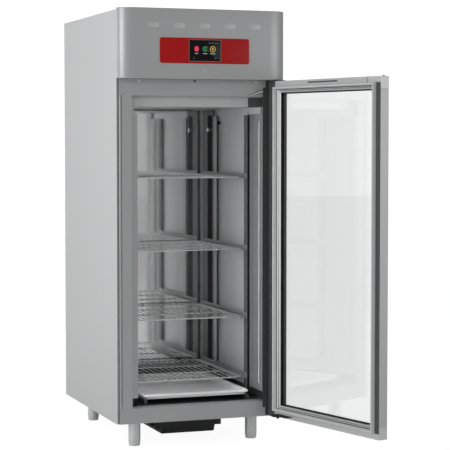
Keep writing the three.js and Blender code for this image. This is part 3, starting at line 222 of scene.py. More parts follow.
leg_steel = surface(
    "leg steel", (0.72, 0.725, 0.73), roughness=0.34, metallic=0.4,
    stretch=(30, 30, 900), variation=0.05, spread=0.08, relief=0.03,
)
foot_radius, neck_radius, tube_radius, plate_radius = 25, 23.8, 27, 42
foot_top, tube_foot, ring, plate_foot = 13.2, 15.4, 25.6, 112.7
sole = [(15, 0), (21.6, 0.2), (23.6, 1.0), (24.7, 2.6), (foot_radius, 4.6), (foot_radius, foot_top)]
neck = [(neck_radius, foot_top + 0.6), (neck_radius, tube_foot - 0.4)]
tube = [(tube_radius - 0.7, tube_foot), (tube_radius, tube_foot + 1), (tube_radius, ring)]
groove = [(tube_radius - 1.1, ring + 0.6), (tube_radius - 1.1, ring + 2.6), (tube_radius, ring + 3.2)]
for side in ("left", "right"):
    for end in ("front", "rear"):
        low, high = span(f"leg_{end}_{side}")
        screw_plate = [
            (tube_radius, plate_foot), (plate_radius - 0.6, plate_foot + 0.1),
            (plate_radius, plate_foot + 0.7), (plate_radius, high.z - 0.6), (plate_radius - 0.6, high.z),
        ]
        shape = bmesh.new()
        centre = ((low.x + high.x) / 2, (low.y + high.y) / 2, low.z)
        turned(shape, sole + neck + tube + groove + screw_plate, centre)
        build(f"{end}_{side}_leg", shape, leg_steel, "cabinet", (f"leg_{end}_{side}",))

# Evaporation tray: a black moulded pan that catches the chamber's water. It has low sides between
# two high ends and a flat lug at each front corner, and it slides on rails under the body.
black_plastic = surface(
    "black plastic", (0.012, 0.012, 0.013), roughness=0.42, metallic=0.0,
    stretch=(120, 120, 120), variation=0.1, spread=0.12, relief=0.1,
)
dress("evaporation_tray", black_plastic, edge=1.2)


# The outline of a rectangle with round corners.
def rounded(width, height, radius, steps, centre):
    points = []
    for quarter in range(4):
        cx = centre[0] + (width / 2 - radius) * (1, -1, -1, 1)[quarter]
        cz = centre[1] + (height / 2 - radius) * (1, 1, -1, -1)[quarter]
        for step in range(steps + 1):
            turn = math.pi / 2 * (quarter + step / steps)
            points.append((cx + radius * math.cos(turn), cz + radius * math.sin(turn)))
    return points


def oblong(low, high):
    return [low, (high[0], low[1]), high, (low[0], high[1])]


# A flat outline is drawn out along an axis, and its near edge may be rounded.
def plate(mesh, outline, axis, low, high, edge=0.0, steps=2):
    order = {"X": (2, 0, 1), "Y": (0, 2, 1), "Z": (0, 1, 2)}[axis]
    corners = [[(a, b, low)[at] for at in order] for a, b in outline]
    near = mesh.faces.new([mesh.verts.new(corner) for corner in corners])
    made = bmesh.ops.extrude_face_region(mesh, geom=[near], use_keep_orig=True)["geom"]
    far = [part for part in made if isinstance(part, bmesh.types.BMVert)]
    bmesh.ops.translate(mesh, verts=far, vec=[(0, 0, high - low)[at] for at in order])
    if edge:
        rim = list(near.edges)
        bmesh.ops.bevel(mesh, geom=rim, offset=edge, affect="EDGES", segments=steps, profile=0.5, material=-1)


tray_low, tray_high = span("evaporation_tray")
lug_inner, lug_outer = tray_high.x - 22, tray_high.x + 11
lug_foot, lug_top = tray_low.z + 29, tray_high.z - 7.8
lug_front, lug_back = tray_low.y - 4, tray_low.y + 0.6
for side, sign in (("left", -1), ("right", 1)):
    low, high = sorted((sign * lug_inner, sign * lug_outer))
    lug = bmesh.new()
    plate(lug, oblong((low, lug_foot), (high, lug_top)), "Y", lug_front, lug_back, edge=0.8)
    build(f"evaporation_tray_lug_{side}", lug, black_plastic, "water_tray")

# Foamed walls: thin steel sheets with the foam behind them. The rear wall is polished and mirrors
# the chamber, and the side walls and the ceiling are satin. The floor sheet is painted near black
# as the shade under the tray and its reflection of the tray's underside, and a dark film along the
# foot of each side wall carries the same painted shade. A black plug beside the rear upright
# closes the sampling port.
liner_steel = surface(
    "liner steel", (0.74, 0.745, 0.75), roughness=0.3, metallic=0.2,
    stretch=brushed_up, variation=0.04, spread=0.08, relief=0.02,
)
bright_liner = surface(
    "bright liner", (0.92, 0.922, 0.925), roughness=0.06, metallic=0.95,
    stretch=brushed_up, variation=0.03, spread=0.02, relief=0.0,
)
# The floor sheet's near-black finish is painted shade and painted reflection of the tray's underside.
floor_painted_shade = surface(
    "floor painted shade", (0.05, 0.051, 0.053), roughness=0.3, metallic=0.3,
    stretch=(120, 120, 120), variation=0.06, spread=0.1, relief=0.03,
)
# Black for the port's plug, and for the painted shade in the duct's slot and the painted shadow beside the
# cover.
black_plug_and_painted_shade = surface(
    "black plug and painted shade", (0.015, 0.015, 0.016), roughness=0.7, metallic=0.0,
    stretch=(90, 90, 90), variation=0.1, spread=0.1, relief=0.0,
)
for name in ("wall_left", "wall_right", "wall_ceiling"):
    dress(name, liner_steel, sheet_edge)
dress("wall_floor", floor_painted_shade, sheet_edge)
dress("wall_rear", bright_liner, sheet_edge)

wall_face = span("wall_right")[0].x
rear_face = span("wall_rear")[0].y
floor_low = span("wall_floor")[0].z
# A dark film along the foot of each side wall carries the floor's painted shade up the walls.
shade_film_front, shade_film_rear = 4, rear_face - 8
shade_film_foot, shade_film_top = floor_low + 1.5, floor_low + 42
for side, sign in (("left", -1), ("right", 1)):
    shade_film = bmesh.new()
    low, high = sorted((sign * (wall_face - 0.3), sign * (wall_face - 0.05)))
    plate(shade_film, oblong((shade_film_front, shade_film_foot), (shade_film_rear, shade_film_top)), "X", low, high)
    build(f"floor_shade_film_{side}", shade_film, floor_painted_shade, "cabinet")

port_radius, port_proud = 7.0, 10
port_place = (0, 590, 1458)
port_profile = [
    (port_radius - 1.5, wall_face - port_proud - 1), (port_radius, wall_face - port_proud),
    (port_radius, wall_face + 0.4),
]
port = bmesh.new()
turned(port, port_profile, port_place, "X", sides=32)
build("sampling_port", port, black_plug_and_painted_shade, "cabinet")

# Front frame: a stepped hollow profile of folded steel round the opening. A dark film beside the
# hinges is painted shade and the painted reflection of the door's dark edge in the steel. Two
# screws hold the strip above the opening, and the black plunger housing of the door switch sits in
# that strip.
frame_steel = surface(
    "frame steel", (0.44, 0.445, 0.45), roughness=0.42, metallic=0.5,
    stretch=brushed_up, variation=0.04, spread=0.08, relief=0.03,
)
# Dark grey for the door's hinge-side strip, and for the painted shade beside the hinges.
dark_trim_and_painted_shade = surface(
    "dark trim and painted shade", (0.052, 0.053, 0.055), roughness=0.5, metallic=0.0,
    stretch=(120, 120, 120), variation=0.06, spread=0.1, relief=0.05,
)
# Bright steel for the screws and the lock's cam, and for a painted highlight beside the cover.
bright_steel_and_painted_highlight = surface(
    "screw steel and painted highlight", (0.9, 0.9, 0.9), roughness=0.3, metallic=0.2,
    stretch=(300, 300, 300), variation=0.05, spread=0.1, relief=0.02,
)
dress("front_frame", frame_steel, edge=0.5, angle=40)
dress("door_switch", black_plastic, edge=0.5)


def screw(name, x, y, z, radius=5.0):
    head = bmesh.new()
    profile = [
        (radius * 0.3, y), (radius * 0.34, y - 1.0), (radius * 0.5, y - 1.9), (radius * 0.86, y - 1.2),
        (radius, y - 0.3), (radius, y + 0.6),
    ]
    turned(head, profile, (x, 0, z), "Y", sides=24)
    build(name, head, bright_steel_and_painted_highlight, "cabinet")


strip_face, strip_middle = 2.4, 1635.5
for side, x in (("left", -285), ("right", 265)):
    screw(f"strip_screw_{side}", x, strip_face, strip_middle)

film_front, film_back = -0.34, -0.04
# A thin dark film on the frame beside the hinges: painted shade and painted reflection of the door's dark
# edge.
shade_inner, shade_step, shade_outer = 296, 309, 329
shade_foot, shade_low, shade_high, shade_top = 121, 158, 1611, 1641
hinge_shade_outline = [
    (shade_inner, shade_low), (shade_step, shade_low), (shade_step, shade_foot), (shade_outer, shade_foot),
    (shade_outer, shade_top), (shade_step, shade_top), (shade_step, shade_high), (shade_inner, shade_high),
]
hinge_shade = bmesh.new()
plate(hinge_shade, hinge_shade_outline, "Y", film_front, film_back)
build("hinge_side_shade", hinge_shade, dark_trim_and_painted_shade, "cabinet")

# Light columns: slim hollow boxes of folded steel that stand in the jambs. A frosted plastic lens
# is let into the inner face of each. It lights the chamber, and looks dull itself.
column_steel = surface(
    "column steel", (0.4, 0.404, 0.41), roughness=0.36, metallic=0.5,
    stretch=brushed_up, variation=0.04, spread=0.08, relief=0.02,
)
for side in ("left", "right"):
    dress(f"light_column_{side}", column_steel, edge=0.35)


# The lens is lit for everything but the camera and mirrored rays, which see it dull.
def frosted_lens(colour, roughness, strength):
    made = bpy.data.materials.new("frosted lens")
    made.use_nodes = True
    tree = made.node_tree
    shader = tree.nodes["Principled BSDF"]
    shader.inputs["Base Color"].default_value = (*colour, 1)
    shader.inputs["Roughness"].default_value = roughness
    shader.inputs["Emission Color"].default_value = (1, 1, 1, 1)
    ray = tree.nodes.new("ShaderNodeLightPath")
    seen = tree.nodes.new("ShaderNodeMath")
    seen.operation = "MAXIMUM"
    light = tree.nodes.new("ShaderNodeMapRange")
    light.inputs["To Min"].default_value = strength
    light.inputs["To Max"].default_value = 0.0
    tree.links.new(ray.outputs["Is Camera Ray"], seen.inputs[0])
    tree.links.new(ray.outputs["Is Glossy Ray"], seen.inputs[1])
    tree.links.new(seen.outputs["Value"], light.inputs["Value"])
    tree.links.new(light.outputs["Result"], shader.inputs["Emission Strength"])
    return made


lens = frosted_lens(colour=(0.22, 0.222, 0.224), roughness=0.45, strength=9.0)
column_low, column_high = span("light_column_right")
lens_margin, lens_setback, lens_width = 34.6, 10.6, 32.8
lens_face, lens_back = column_low.x + 1.4, column_low.x + 5
lens_foot = (column_low.y + lens_setback, column_low.z + lens_margin)
lens_top = (lens_foot[0] + lens_width, column_high.z - lens_margin)
for side, sign in (("left", -1), ("right", 1)):
    strip = bmesh.new()
    low, high = sorted((sign * lens_face, sign * lens_back))
    plate(strip, oblong(lens_foot, lens_top), "X", low, high)
    build(f"lamp_strip_{side}", strip, lens, "cabinet")

# Rack: four slotted uprights of folded steel screwed to the side walls, and eight angles that hook
# into them as runners, two for each shelf. The front uprights stand in the jambs' shadow, painted
# into them as a darker copy of the rack steel.
# The front uprights take a darker copy of the rack steel: painted shade.
upright_painted_shade = surface(
    "upright steel painted shade", (0.17, 0.172, 0.175), roughness=0.4, metallic=0.4,
    stretch=brushed_up, variation=0.05, spread=0.08, relief=0.02,
)
rack_steel = surface(
    "rack steel", (0.5, 0.505, 0.51), roughness=0.34, metallic=0.6,
    stretch=brushed_up, variation=0.05, spread=0.08, relief=0.02,
)
for side in ("left", "right"):
    dress(f"rack_upright_front_{side}", upright_painted_shade, edge=0.5)
    dress(f"rack_upright_rear_{side}", rack_steel, edge=0.5)
    for level in range(1, 5):
        dress(f"runner_{level}_{side}", rack_steel, edge=0.4)

# Shelves: chromed wire grids that slide on the runners. Each is a rim rod bent round and welded
# shut, two cross rods in its plane, and seventeen thinner wires welded on top from front to rear.
chrome = surface(
    "chromed wire", (0.7, 0.705, 0.71), roughness=0.2, metallic=0.85,
    stretch=(200, 200, 200), variation=0.04, spread=0.06, relief=0.01,
)


def wire(mesh, start, end, radius, sides):
    run = Vector(end) - Vector(start)
    middle = Matrix.Translation((Vector(start) + Vector(end)) / 2)
    place = middle @ run.to_track_quat("Z", "Y").to_matrix().to_4x4()
    bmesh.ops.create_cone(
        mesh, cap_ends=True, segments=sides, radius1=radius, radius2=radius, depth=run.length, matrix=place
    )


# Edges are extruded, and the new vertices and the edges between them are given back.
def drawn_out(mesh, edges):
    made = bmesh.ops.extrude_edge_only(mesh, edges=edges)["geom"]
    verts = [part for part in made if isinstance(part, bmesh.types.BMVert)]
    loose = [part for part in made if isinstance(part, bmesh.types.BMEdge)]
    return verts, [edge for edge in loose if set(edge.verts) <= set(verts)]


# A circle of rod is drawn along each side and bent round each corner.
def bent_rim(mesh, half_width, front, rear, corner, radius, height, sides):
    start = Matrix.Translation((-half_width + corner, front, height))
    upright = start @ Matrix.Rotation(math.pi / 2, 4, "Y")
    verts = bmesh.ops.create_circle(mesh, segments=sides, radius=radius, matrix=upright)["verts"]
    edges = list({edge for vert in verts for edge in vert.link_edges})
    run = Vector((2 * (half_width - corner), 0, 0))
    side_run = Vector((0, rear - front - 2 * corner, 0))
    for straight, centre in (
        (run, (half_width - corner, front + corner, height)),
        (side_run, (half_width - corner, rear - corner, height)),
        (-run, (-half_width + corner, rear - corner, height)),
        (-side_run, (-half_width + corner, front + corner, height)),
    ):
        verts, edges = drawn_out(mesh, edges)
        bmesh.ops.translate(mesh, verts=verts, vec=straight)
        bend = bmesh.ops.spin(
            mesh, geom=verts + edges, cent=centre, axis=(0, 0, 1), angle=math.pi / 2, steps=6
        )
        edges = [part for part in bend["geom_last"] if isinstance(part, bmesh.types.BMEdge)]
    bmesh.ops.remove_doubles(mesh, verts=mesh.verts[:], dist=0.001)


rod_radius, wire_radius, rim_bend, weld_depth = 3.5, 2.0, 12, 0.6
wire_count, wire_inset, cross_rod_inset, cross_rod_shares = 17, 1.5, 5, (0.34, 0.67)
for level, body in enumerate(("shelf_a", "shelf_b", "shelf_c", "shelf_d"), 1):
    low, high = span(f"shelf_{level}")
    rim = high.x - rod_radius
    rim_height = high.z - 2 * wire_radius - rod_radius + weld_depth
    wires = bmesh.new()
    bent_rim(wires, rim, low.y + rod_radius, high.y - rod_radius, rim_bend, rod_radius, rim_height, 12)
    for share in cross_rod_shares:
        y = low.y + share * (high.y - low.y)
        reach = high.x - cross_rod_inset
        wire(wires, (-reach, y, rim_height), (reach, y, rim_height), rod_radius, 12)
    for index in range(1, wire_count + 1):
        x = -rim + index * 2 * rim / (wire_count + 1)
        height = high.z - wire_radius
        wire(wires, (x, low.y + wire_inset, height), (x, high.y - wire_inset, height), wire_radius, 10)
    build(f"wire_shelf_{level}", wires, chrome, body, (f"shelf_{level}",), crease=40)

# Drip tray: a shallow pan pressed from one sheet, with a rolled rim. It lies loose on the ribs of
# the floor under the lowest shelf and slides forward. Its steel is painted near white and matte as a
# painted highlight for the bright light on its front lip.
brushed_across = (8, 900, 900)
# Near-white matte steel: a painted highlight for the bright front lip.
pan_painted_highlight = surface(
    "pan steel painted highlight", (0.96, 0.962, 0.965), roughness=0.3, metallic=0.0,
    stretch=brushed_across, variation=0.04, spread=0.08, relief=0.02,
)
dress("drip_tray", pan_painted_highlight, edge=0.8, angle=35)

# Air channel and probe: a grey moulded duct clipped to the right wall, with a wide slot up its face
# and a closed end under the ceiling. The slot's floor is painted black as the shade in the recess.
# The round metal head of the humidity probe is held by a dark clip across the slot.
# Charcoal for the driver box and the probe clip, and for a painted shade film over the driver.
charcoal_and_painted_shade = surface(
    "charcoal plastic and painted shade", (0.075, 0.076, 0.08), roughness=0.5, metallic=0.0,
    stretch=(150, 150, 150), variation=0.08, spread=0.1, relief=0.06,
)
duct_grey = surface(
    "duct grey", (0.2, 0.202, 0.206), roughness=0.42, metallic=0.2,
    stretch=(150, 150, 150), variation=0.06, spread=0.1, relief=0.04,
)
duct_low, duct_high = span("air_channel")
slot_front, slot_rear, slot_depth = duct_low.y + 11.6, duct_high.y - 76.4, 6
slot_top, duct_top = duct_high.z - 4, duct_high.z + 22.4
open_section = [
    (duct_high.x, duct_low.y), (duct_high.x, duct_high.y), (duct_low.x, duct_high.y), (duct_low.x, slot_rear),
    (duct_low.x + slot_depth, slot_rear), (duct_low.x + slot_depth, slot_front), (duct_low.x, slot_front),
    (duct_low.x, duct_low.y),
]
closed_section = open_section[:3] + open_section[-1:]
duct = bmesh.new()
plate(duct, open_section, "Z", duct_low.z, slot_top)
plate(duct, closed_section, "Z", slot_top - 0.1, duct_top)
build("air_duct", duct, duct_grey, "cabinet", ("air_channel",))

# A black sheet on the slot's floor is painted shade in the recess.
slot_shade_back = duct_low.x + slot_depth - 0.1
slot_foot = 230
slot_shade_outline = oblong((slot_front + 0.4, slot_foot), (slot_rear - 0.4, slot_top - 0.4))
slot_shade = bmesh.new()
plate(slot_shade, slot_shade_outline, "X", slot_shade_back - 2.5, slot_shade_back)
build("duct_slot_shade", slot_shade, black_plug_and_painted_shade, "cabinet")

probe_low, probe_high = span("humidity_probe")
probe_y, probe_z = (probe_low.y + probe_high.y) / 2, (probe_low.z + probe_high.z) / 2
clip_height, clip_corner = 14, 3
clip_outline = rounded(probe_high.y - probe_low.y, clip_height, clip_corner, 4, (probe_y, probe_z))
probe_clip = bmesh.new()
plate(probe_clip, clip_outline, "X", probe_high.x - 1.5, probe_high.x - 0.1)
build("probe_clip", probe_clip, charcoal_and_painted_shade, "cabinet")

head_radius, head_face = (probe_high.z - probe_low.z) / 2, probe_low.x + 0.2
head_profile = [
    (4, head_face), (head_radius - 1.6, head_face + 0.1), (head_radius - 0.4, head_face + 0.9),
    (head_radius, head_face + 2.1), (head_radius, head_face + 10.7),
]
probe = bmesh.new()
turned(probe, head_profile, (0, probe_y, probe_z), "X", sides=40)
build("humidity_probe_head", probe, chrome, "cabinet", ("humidity_probe",))

# Evaporator: a folded steel cover screwed up under the ceiling, with the finned coil and the fan
# that blows through its round grille above it. The lamps' driver is a dark box in the notch at the
# cover's right end, and a steel strip closes the gap between the cover and the frame.
cover_steel = surface(
    "cover steel", (0.56, 0.565, 0.57), roughness=0.42, metallic=0.45,
    stretch=brushed_across, variation=0.04, spread=0.08, relief=0.02,
)
fin_metal = surface(
    "fin aluminium", (0.62, 0.63, 0.64), roughness=0.35, metallic=0.9,
    stretch=(400, 400, 20), variation=0.08, spread=0.1, relief=0.02,
)
dress("evaporator_cover", cover_steel, edge=0.35)
dress("lamp_driver", charcoal_and_painted_shade, edge=0.6)
dress("evaporator_coil", fin_metal, edge=0.2)
dress("evaporator_fan", black_plastic, edge=0.3)
cover_low, cover_high = span("evaporator_cover")
for side, x in (("left", -150), ("right", 150)):
    screw(f"cover_screw_{side}", x, cover_low.y + 1.6, cover_high.z - 12, 4.6)

strip_outer, strip_inner = 319, wall_face + 1.2
strip_foot, strip_low, strip_top = column_high.z + 1, cover_high.z + 1.5, 1569.4
strip_outline = [
    (-strip_outer, strip_foot), (-strip_inner, strip_foot), (-strip_inner, strip_low),
    (strip_inner, strip_low), (strip_inner, strip_foot), (strip_outer, strip_foot),
    (strip_outer, strip_top), (-strip_outer, strip_top),
]
closing = bmesh.new()
plate(closing, strip_outline, "Y", cover_low.y, cover_low.y + 1.2)
build("cover_closing_strip", closing, cover_steel, "cabinet")

# A dark film in front of the driver is painted shade, two dark slanted lines beside it rising to the
# hinge are the painted shadow and reflection of the open door, and a pale line between them is a
# painted highlight.
corner_shade_left, corner_shade_right = 239.5, 310
corner_shade_outline = oblong((corner_shade_left, cover_low.z + 2), (corner_shade_right, strip_top - 0.2))
corner = bmesh.new()
plate(corner, corner_shade_outline, "Y", cover_low.y - 0.9, cover_low.y - 0.1)
build("cover_corner_shade", corner, charcoal_and_painted_shade, "cabinet")

# Painted shadow: two dark slanted lines for the open door's shadow and reflection.
painted_lines_end, shadow_line_width, shadow_line_rise = 295, 6, 3.4
shadow_lines = bmesh.new()
for start_x, start_z, end_z in ((225, 1573.5, 1602), (234, 1570.8, 1588.5)):
    shadow_line_outline = [
        (start_x, start_z), (start_x + shadow_line_width, start_z), (painted_lines_end, end_z - shadow_line_rise),
        (painted_lines_end, end_z),
    ]
    plate(shadow_lines, shadow_line_outline, "Y", film_front, film_back)
build("corner_shadow_lines", shadow_lines, black_plug_and_painted_shade, "cabinet")
# Painted highlight: a pale line between the dark lines.
highlight_outline = [(226.5, 1570.6), (232.5, 1570.6), (painted_lines_end, 1590.5), (painted_lines_end, 1596.5)]
highlight_line = bmesh.new()
plate(highlight_line, highlight_outline, "Y", film_front, film_back)
build("corner_highlight", highlight_line, bright_steel_and_painted_highlight, "cabinet")

# Header: a deep cowl folded from one steel sheet, with wide rounded upright corners, hung on the
# side panels above the door. Five plain pill shapes are pressed out of it above the controls.
header_steel = surface(
    "header steel", (0.45, 0.455, 0.46), roughness=0.4, metallic=0.5,
    stretch=brushed_up, variation=0.04, spread=0.08, relief=0.03,
)
cowl_low, cowl_high = span("header_cowl")
corner_across, corner_deep, corner_steps, rim_rounding = 84, 50, 24, 2.4
plan = [(cowl_high.x, cowl_high.y), (cowl_low.x, cowl_high.y)]
for start, centre_x in ((math.pi, cowl_low.x + corner_across), (1.5 * math.pi, cowl_high.x - corner_across)):
    for step in range(corner_steps + 1):
        turn = start + math.pi / 2 * step / corner_steps
        y = cowl_low.y + corner_deep + corner_deep * math.sin(turn)
        plan.append((centre_x + corner_across * math.cos(turn), y))
cowl = bmesh.new()
plate(cowl, plan, "Z", cowl_low.z, cowl_high.z)
rim_edges = [edge for edge in cowl.edges if abs(edge.verts[0].co.z - edge.verts[1].co.z) < 1]
bmesh.ops.bevel(
    cowl, geom=rim_edges, offset=rim_rounding, affect="EDGES", segments=3, profile=0.5, material=-1
)
build("cowl", cowl, header_steel, "cabinet", ("header_cowl",), crease=35)

pressed_steel = surface(
    "pressed steel", (0.54, 0.545, 0.55), roughness=0.38, metallic=0.5,
    stretch=brushed_up, variation=0.04, spread=0.08, relief=0.03,
)
pill_width, pill_height, pill_pitch, pill_middle = 52, 24, 118, 1877
for index in range(5):
    pill = bmesh.new()
    centre = ((index - 2) * pill_pitch, pill_middle)
    pill_outline = rounded(pill_width, pill_height, pill_height / 2 - 0.1, 10, centre)
    plate(pill, pill_outline, "Y", cowl_low.y - 1, cowl_low.y + 0.4, edge=0.7, steps=3)
    build(f"pill_pressing_{index + 1}", pill, pressed_steel, "cabinet", crease=50)

# Controls: a moulded fascia, glossy red, clipped to the cowl, with a black touch screen in a thin
# grey bezel. The screen shows plain round symbols over grey bars, and no words.
red = surface(
    "red fascia", (0.42, 0.003, 0.004), roughness=0.3, metallic=0.0,
    stretch=(40, 40, 40), variation=0.04, spread=0.05, relief=0.0,
)
red.node_tree.nodes["Principled BSDF"].inputs["Specular IOR Level"].default_value = 0.25
screen_black = surface(
    "screen glass", (0.002, 0.002, 0.003), roughness=0.14, metallic=0.0,
    stretch=(30, 30, 30), variation=0.04, spread=0.04, relief=0.0,
)
screen_black.node_tree.nodes["Principled BSDF"].inputs["Specular IOR Level"].default_value = 0.2
bezel_grey = surface(
    "bezel grey", (0.2, 0.2, 0.205), roughness=0.4, metallic=0.2,
    stretch=(90, 90, 90), variation=0.04, spread=0.05, relief=0.0,
)
fascia_low, fascia_high = span("control_fascia")
screen_low, screen_high = span("touch_screen")


def panel(low, high, margin, radius, steps):
    middle = ((low.x + high.x) / 2, (low.z + high.z) / 2)
    return rounded(high.x - low.x + 2 * margin, high.z - low.z + 2 * margin, radius, steps, middle)


fascia_outline = panel(fascia_low, fascia_high, margin=0, radius=10, steps=10)
bezel_outline = panel(screen_low, screen_high, margin=2, radius=4, steps=6)
screen_outline = panel(screen_low, screen_high, margin=0, radius=3, steps=6)
fascia = bmesh.new()
plate(fascia, fascia_outline, "Y", fascia_low.y, cowl_low.y - 0.1, edge=0.9, steps=3)
build("fascia_plate", fascia, red, "cabinet", ("control_fascia",), crease=40)
bezel = bmesh.new()
plate(bezel, bezel_outline, "Y", fascia_low.y - 0.6, fascia_low.y + 0.3, edge=0.3)
build("screen_bezel", bezel, bezel_grey, "cabinet", crease=40)
screen = bmesh.new()
plate(screen, screen_outline, "Y", screen_low.y, screen_low.y + 0.9, edge=0.25)
build("screen", screen, screen_black, "cabinet", ("touch_screen",), crease=40)


def glow(name, colour, strength):
    made = bpy.data.materials.new(name)
    made.use_nodes = True
    shader = made.node_tree.nodes["Principled BSDF"]
    shader.inputs["Base Color"].default_value = (*colour, 1)
    shader.inputs["Emission Color"].default_value = (*colour, 1)
    shader.inputs["Emission Strength"].default_value = strength
    return made


icon_front, icon_back = screen_low.y - 0.2, screen_low.y + 0.1


def icon_ring(mesh, x, z, outer, inner, start=0.0, sweep=2 * math.pi):
    corners = []
    for radius, y in ((outer, icon_front), (inner, icon_front), (inner, icon_back), (outer, icon_back)):
        corners.append(mesh.verts.new((x + radius * math.cos(start), y, z + radius * math.sin(start))))
    sides = [mesh.edges.new(pair) for pair in zip(corners, corners[1:] + corners[:1])]
    full = sweep > 2 * math.pi - 0.01
    bmesh.ops.spin(
        mesh, geom=corners + sides, cent=(x, 0, z), axis=(0, -1, 0), angle=sweep, steps=40, use_merge=full
    )
    bmesh.ops.edgeloop_fill(mesh, edges=[edge for edge in mesh.edges if edge.is_boundary])


def icon_bar(mesh, x, z, width, height):
    plate(mesh, rounded(width, height, height * 0.45, 4, (x, z)), "Y", icon_front, icon_back)


icon_lights = {
    "pink": glow("icon pink", (0.62, 0.03, 0.07), 0.55),
    "green": glow("icon green", (0.05, 0.42, 0.16), 0.5),
    "amber": glow("icon amber", (0.5, 0.35, 0.05), 0.55),
    "grey": glow("icon grey", (0.35, 0.35, 0.35), 0.4),
    "dim": glow("icon dim", (0.1, 0.11, 0.11), 0.3),
}
icons = {tone: bmesh.new() for tone in icon_lights}
left_icon, middle_icon, right_icon = -39.5, 0, 36
head_row, icon_row, bar_row, foot_row = 1802, 1775, 1755, 1734
plate(icons["pink"], rounded(19, 24, 9, 8, (left_icon, icon_row)), "Y", icon_front, icon_back)
icon_ring(icons["green"], middle_icon, icon_row, 11, 8.6, 0.5, 5.2)
icon_bar(icons["green"], middle_icon + 1, icon_row, 9, 3)
icon_ring(icons["amber"], right_icon, icon_row, 13, 10.2)
icon_bar(icons["amber"], right_icon, icon_row, 9, 8)
for x, width in ((left_icon, 15), (middle_icon, 21), (right_icon, 24)):
    icon_bar(icons["grey"], x, bar_row, width, 3.2)
for x, z, width, height in ((-52, foot_row, 5, 5), (49, foot_row, 7, 5), (40, head_row, 48, 2.6)):
    icon_bar(icons["dim"], x, z, width, height)
for tone, finish in icon_lights.items():
    build(f"icons_{tone}", icons[tone], finish, "cabinet")

# Lock: a turned steel barrel below the fascia, with a raised rim round its sunk face. A flat cam
# is screwed to its rear end and hangs down towards the slot in the door's top rail.
joints = {joint["name"]: joint for joint in frame["joints"]}
lock_x, lock_y, lock_z = measured(joints["lock_turn"]["pos_m"])
lock_low, lock_high = span("lock_barrel")
barrel_radius = lock_high.x
barrel_profile = [
    (1.4, lock_y - 0.6), (barrel_radius - 2.8, lock_y - 0.8), (barrel_radius - 1.2, lock_y - 3.6),
    (barrel_radius - 0.4, lock_y - 3.9), (barrel_radius, lock_y - 3.2), (barrel_radius, lock_y + 17),
]
barrel = bmesh.new()
turned(barrel, barrel_profile, (lock_x, 0, lock_z), "Y", sides=40)
build("lock_face", barrel, cover_steel, "lock", ("lock_barrel",))
cam_reach = 4.5
cam_outline = oblong((-cam_reach, lock_low.z), (cam_reach, lock_z + 4))
cam = bmesh.new()
plate(cam, cam_outline, "Y", lock_high.y - 1.6, lock_high.y + 1.3)
build("lock_cam", cam, bright_steel_and_painted_highlight, "lock")

# Cooling set: a compressor in a black painted shell welded to a foot plate, and a finned condenser
# with its fan in a steel shroud. All of it is screwed to the deck behind the header.
black_paint = surface(
    "black paint", (0.014, 0.014, 0.015), roughness=0.35, metallic=0.0,
    stretch=(80, 80, 80), variation=0.08, spread=0.1, relief=0.05,
)
shell_low, shell_high = span("compressor")
shell_middle = ((shell_low.x + shell_high.x) / 2, (shell_low.y + shell_high.y) / 2)
shell_radius, shell_shoulder, shell_rise = 85, 129, 61
dome_profile = [(1, 0.02), (shell_radius - 9, 0.02), (shell_radius - 1, 6), (shell_radius, 20)]
dome_profile.append((shell_radius, shell_shoulder))
for step in range(1, 12):
    turn = math.pi / 2 * step / 12
    dome_profile.append((shell_radius * math.cos(turn), shell_shoulder + shell_rise * math.sin(turn)))
dome_profile = [(radius, shell_low.z + 0.1 + along) for radius, along in dome_profile]
dome = bmesh.new()
turned(dome, dome_profile, (*shell_middle, 0), "Z", sides=56)
base_side = shell_high.x - shell_low.x
plate(dome, rounded(base_side, base_side, 12, 5, shell_middle), "Z", shell_low.z, shell_low.z + 6)
build("compressor_shell", dome, black_paint, "cabinet", ("compressor",), crease=40)
dress("condenser", fin_metal, edge=0.2)
dress("condenser_fan", black_plastic, edge=0.3)

# Hinge plates: arms of black painted flat steel, screwed to the frame above and below the leaf.
# Each has a pivot pin that stands in a hole of the door's rail.
for name in ("hinge_plate_top", "hinge_plate_bottom"):
    dress(name, black_paint, edge=0.6)

# Door leaf: two stiles and two rails of folded steel, hollow and welded at the corners, with dark
# plastic strips clipped on along the upright edges. The top rail has a joint line, the keeper's
# slot and a stud, and a black shoe covers the lower hinge corner. The leaf stands open at rest.
door_steel = surface(
    "door steel", (0.64, 0.645, 0.65), roughness=0.4, metallic=0.4,
    stretch=brushed_up, variation=0.04, spread=0.08, relief=0.03,
)
# The handle stile takes a darker copy of the door steel: painted shade that tones down its highlight.
handle_painted_shade = surface(
    "handle stile steel painted shade", (0.52, 0.525, 0.53), roughness=0.4, metallic=0.4,
    stretch=brushed_up, variation=0.04, spread=0.08, relief=0.03,
)
# Dark grey for the edge strip, the joint line and the keeper's slot, and for painted shadow beside the seal
# and in the frame's crease.
strip_grey_and_painted_shade = surface(
    "strip grey and painted shade", (0.07, 0.071, 0.073), roughness=0.55, metallic=0.0,
    stretch=(120, 120, 120), variation=0.06, spread=0.1, relief=0.05,
)
for name in ("door_stile_hinge", "door_rail_top", "door_rail_bottom"):
    dress(name, door_steel, edge=0.6)
dress("door_stile_handle", handle_painted_shade, edge=0.6)
dress("edge_strip_handle", strip_grey_and_painted_shade, edge=0.4)
dress("edge_strip_hinge", dark_trim_and_painted_shade, edge=0.4)

pivot_x, pivot_y = measured(joints["door_hinge"]["pos_m"])[:2]
opening = math.radians(-joints["door_hinge"]["range_deg"][0])


# On the leaf, u runs from the pivot to the hinge edge, v through the leaf and z up.
def on_door(point):
    u, v, z = point
    x = pivot_x + u * math.cos(opening) - v * math.sin(opening)
    y = pivot_y + u * math.sin(opening) + v * math.cos(opening)
    return millimetres((x, y, z))


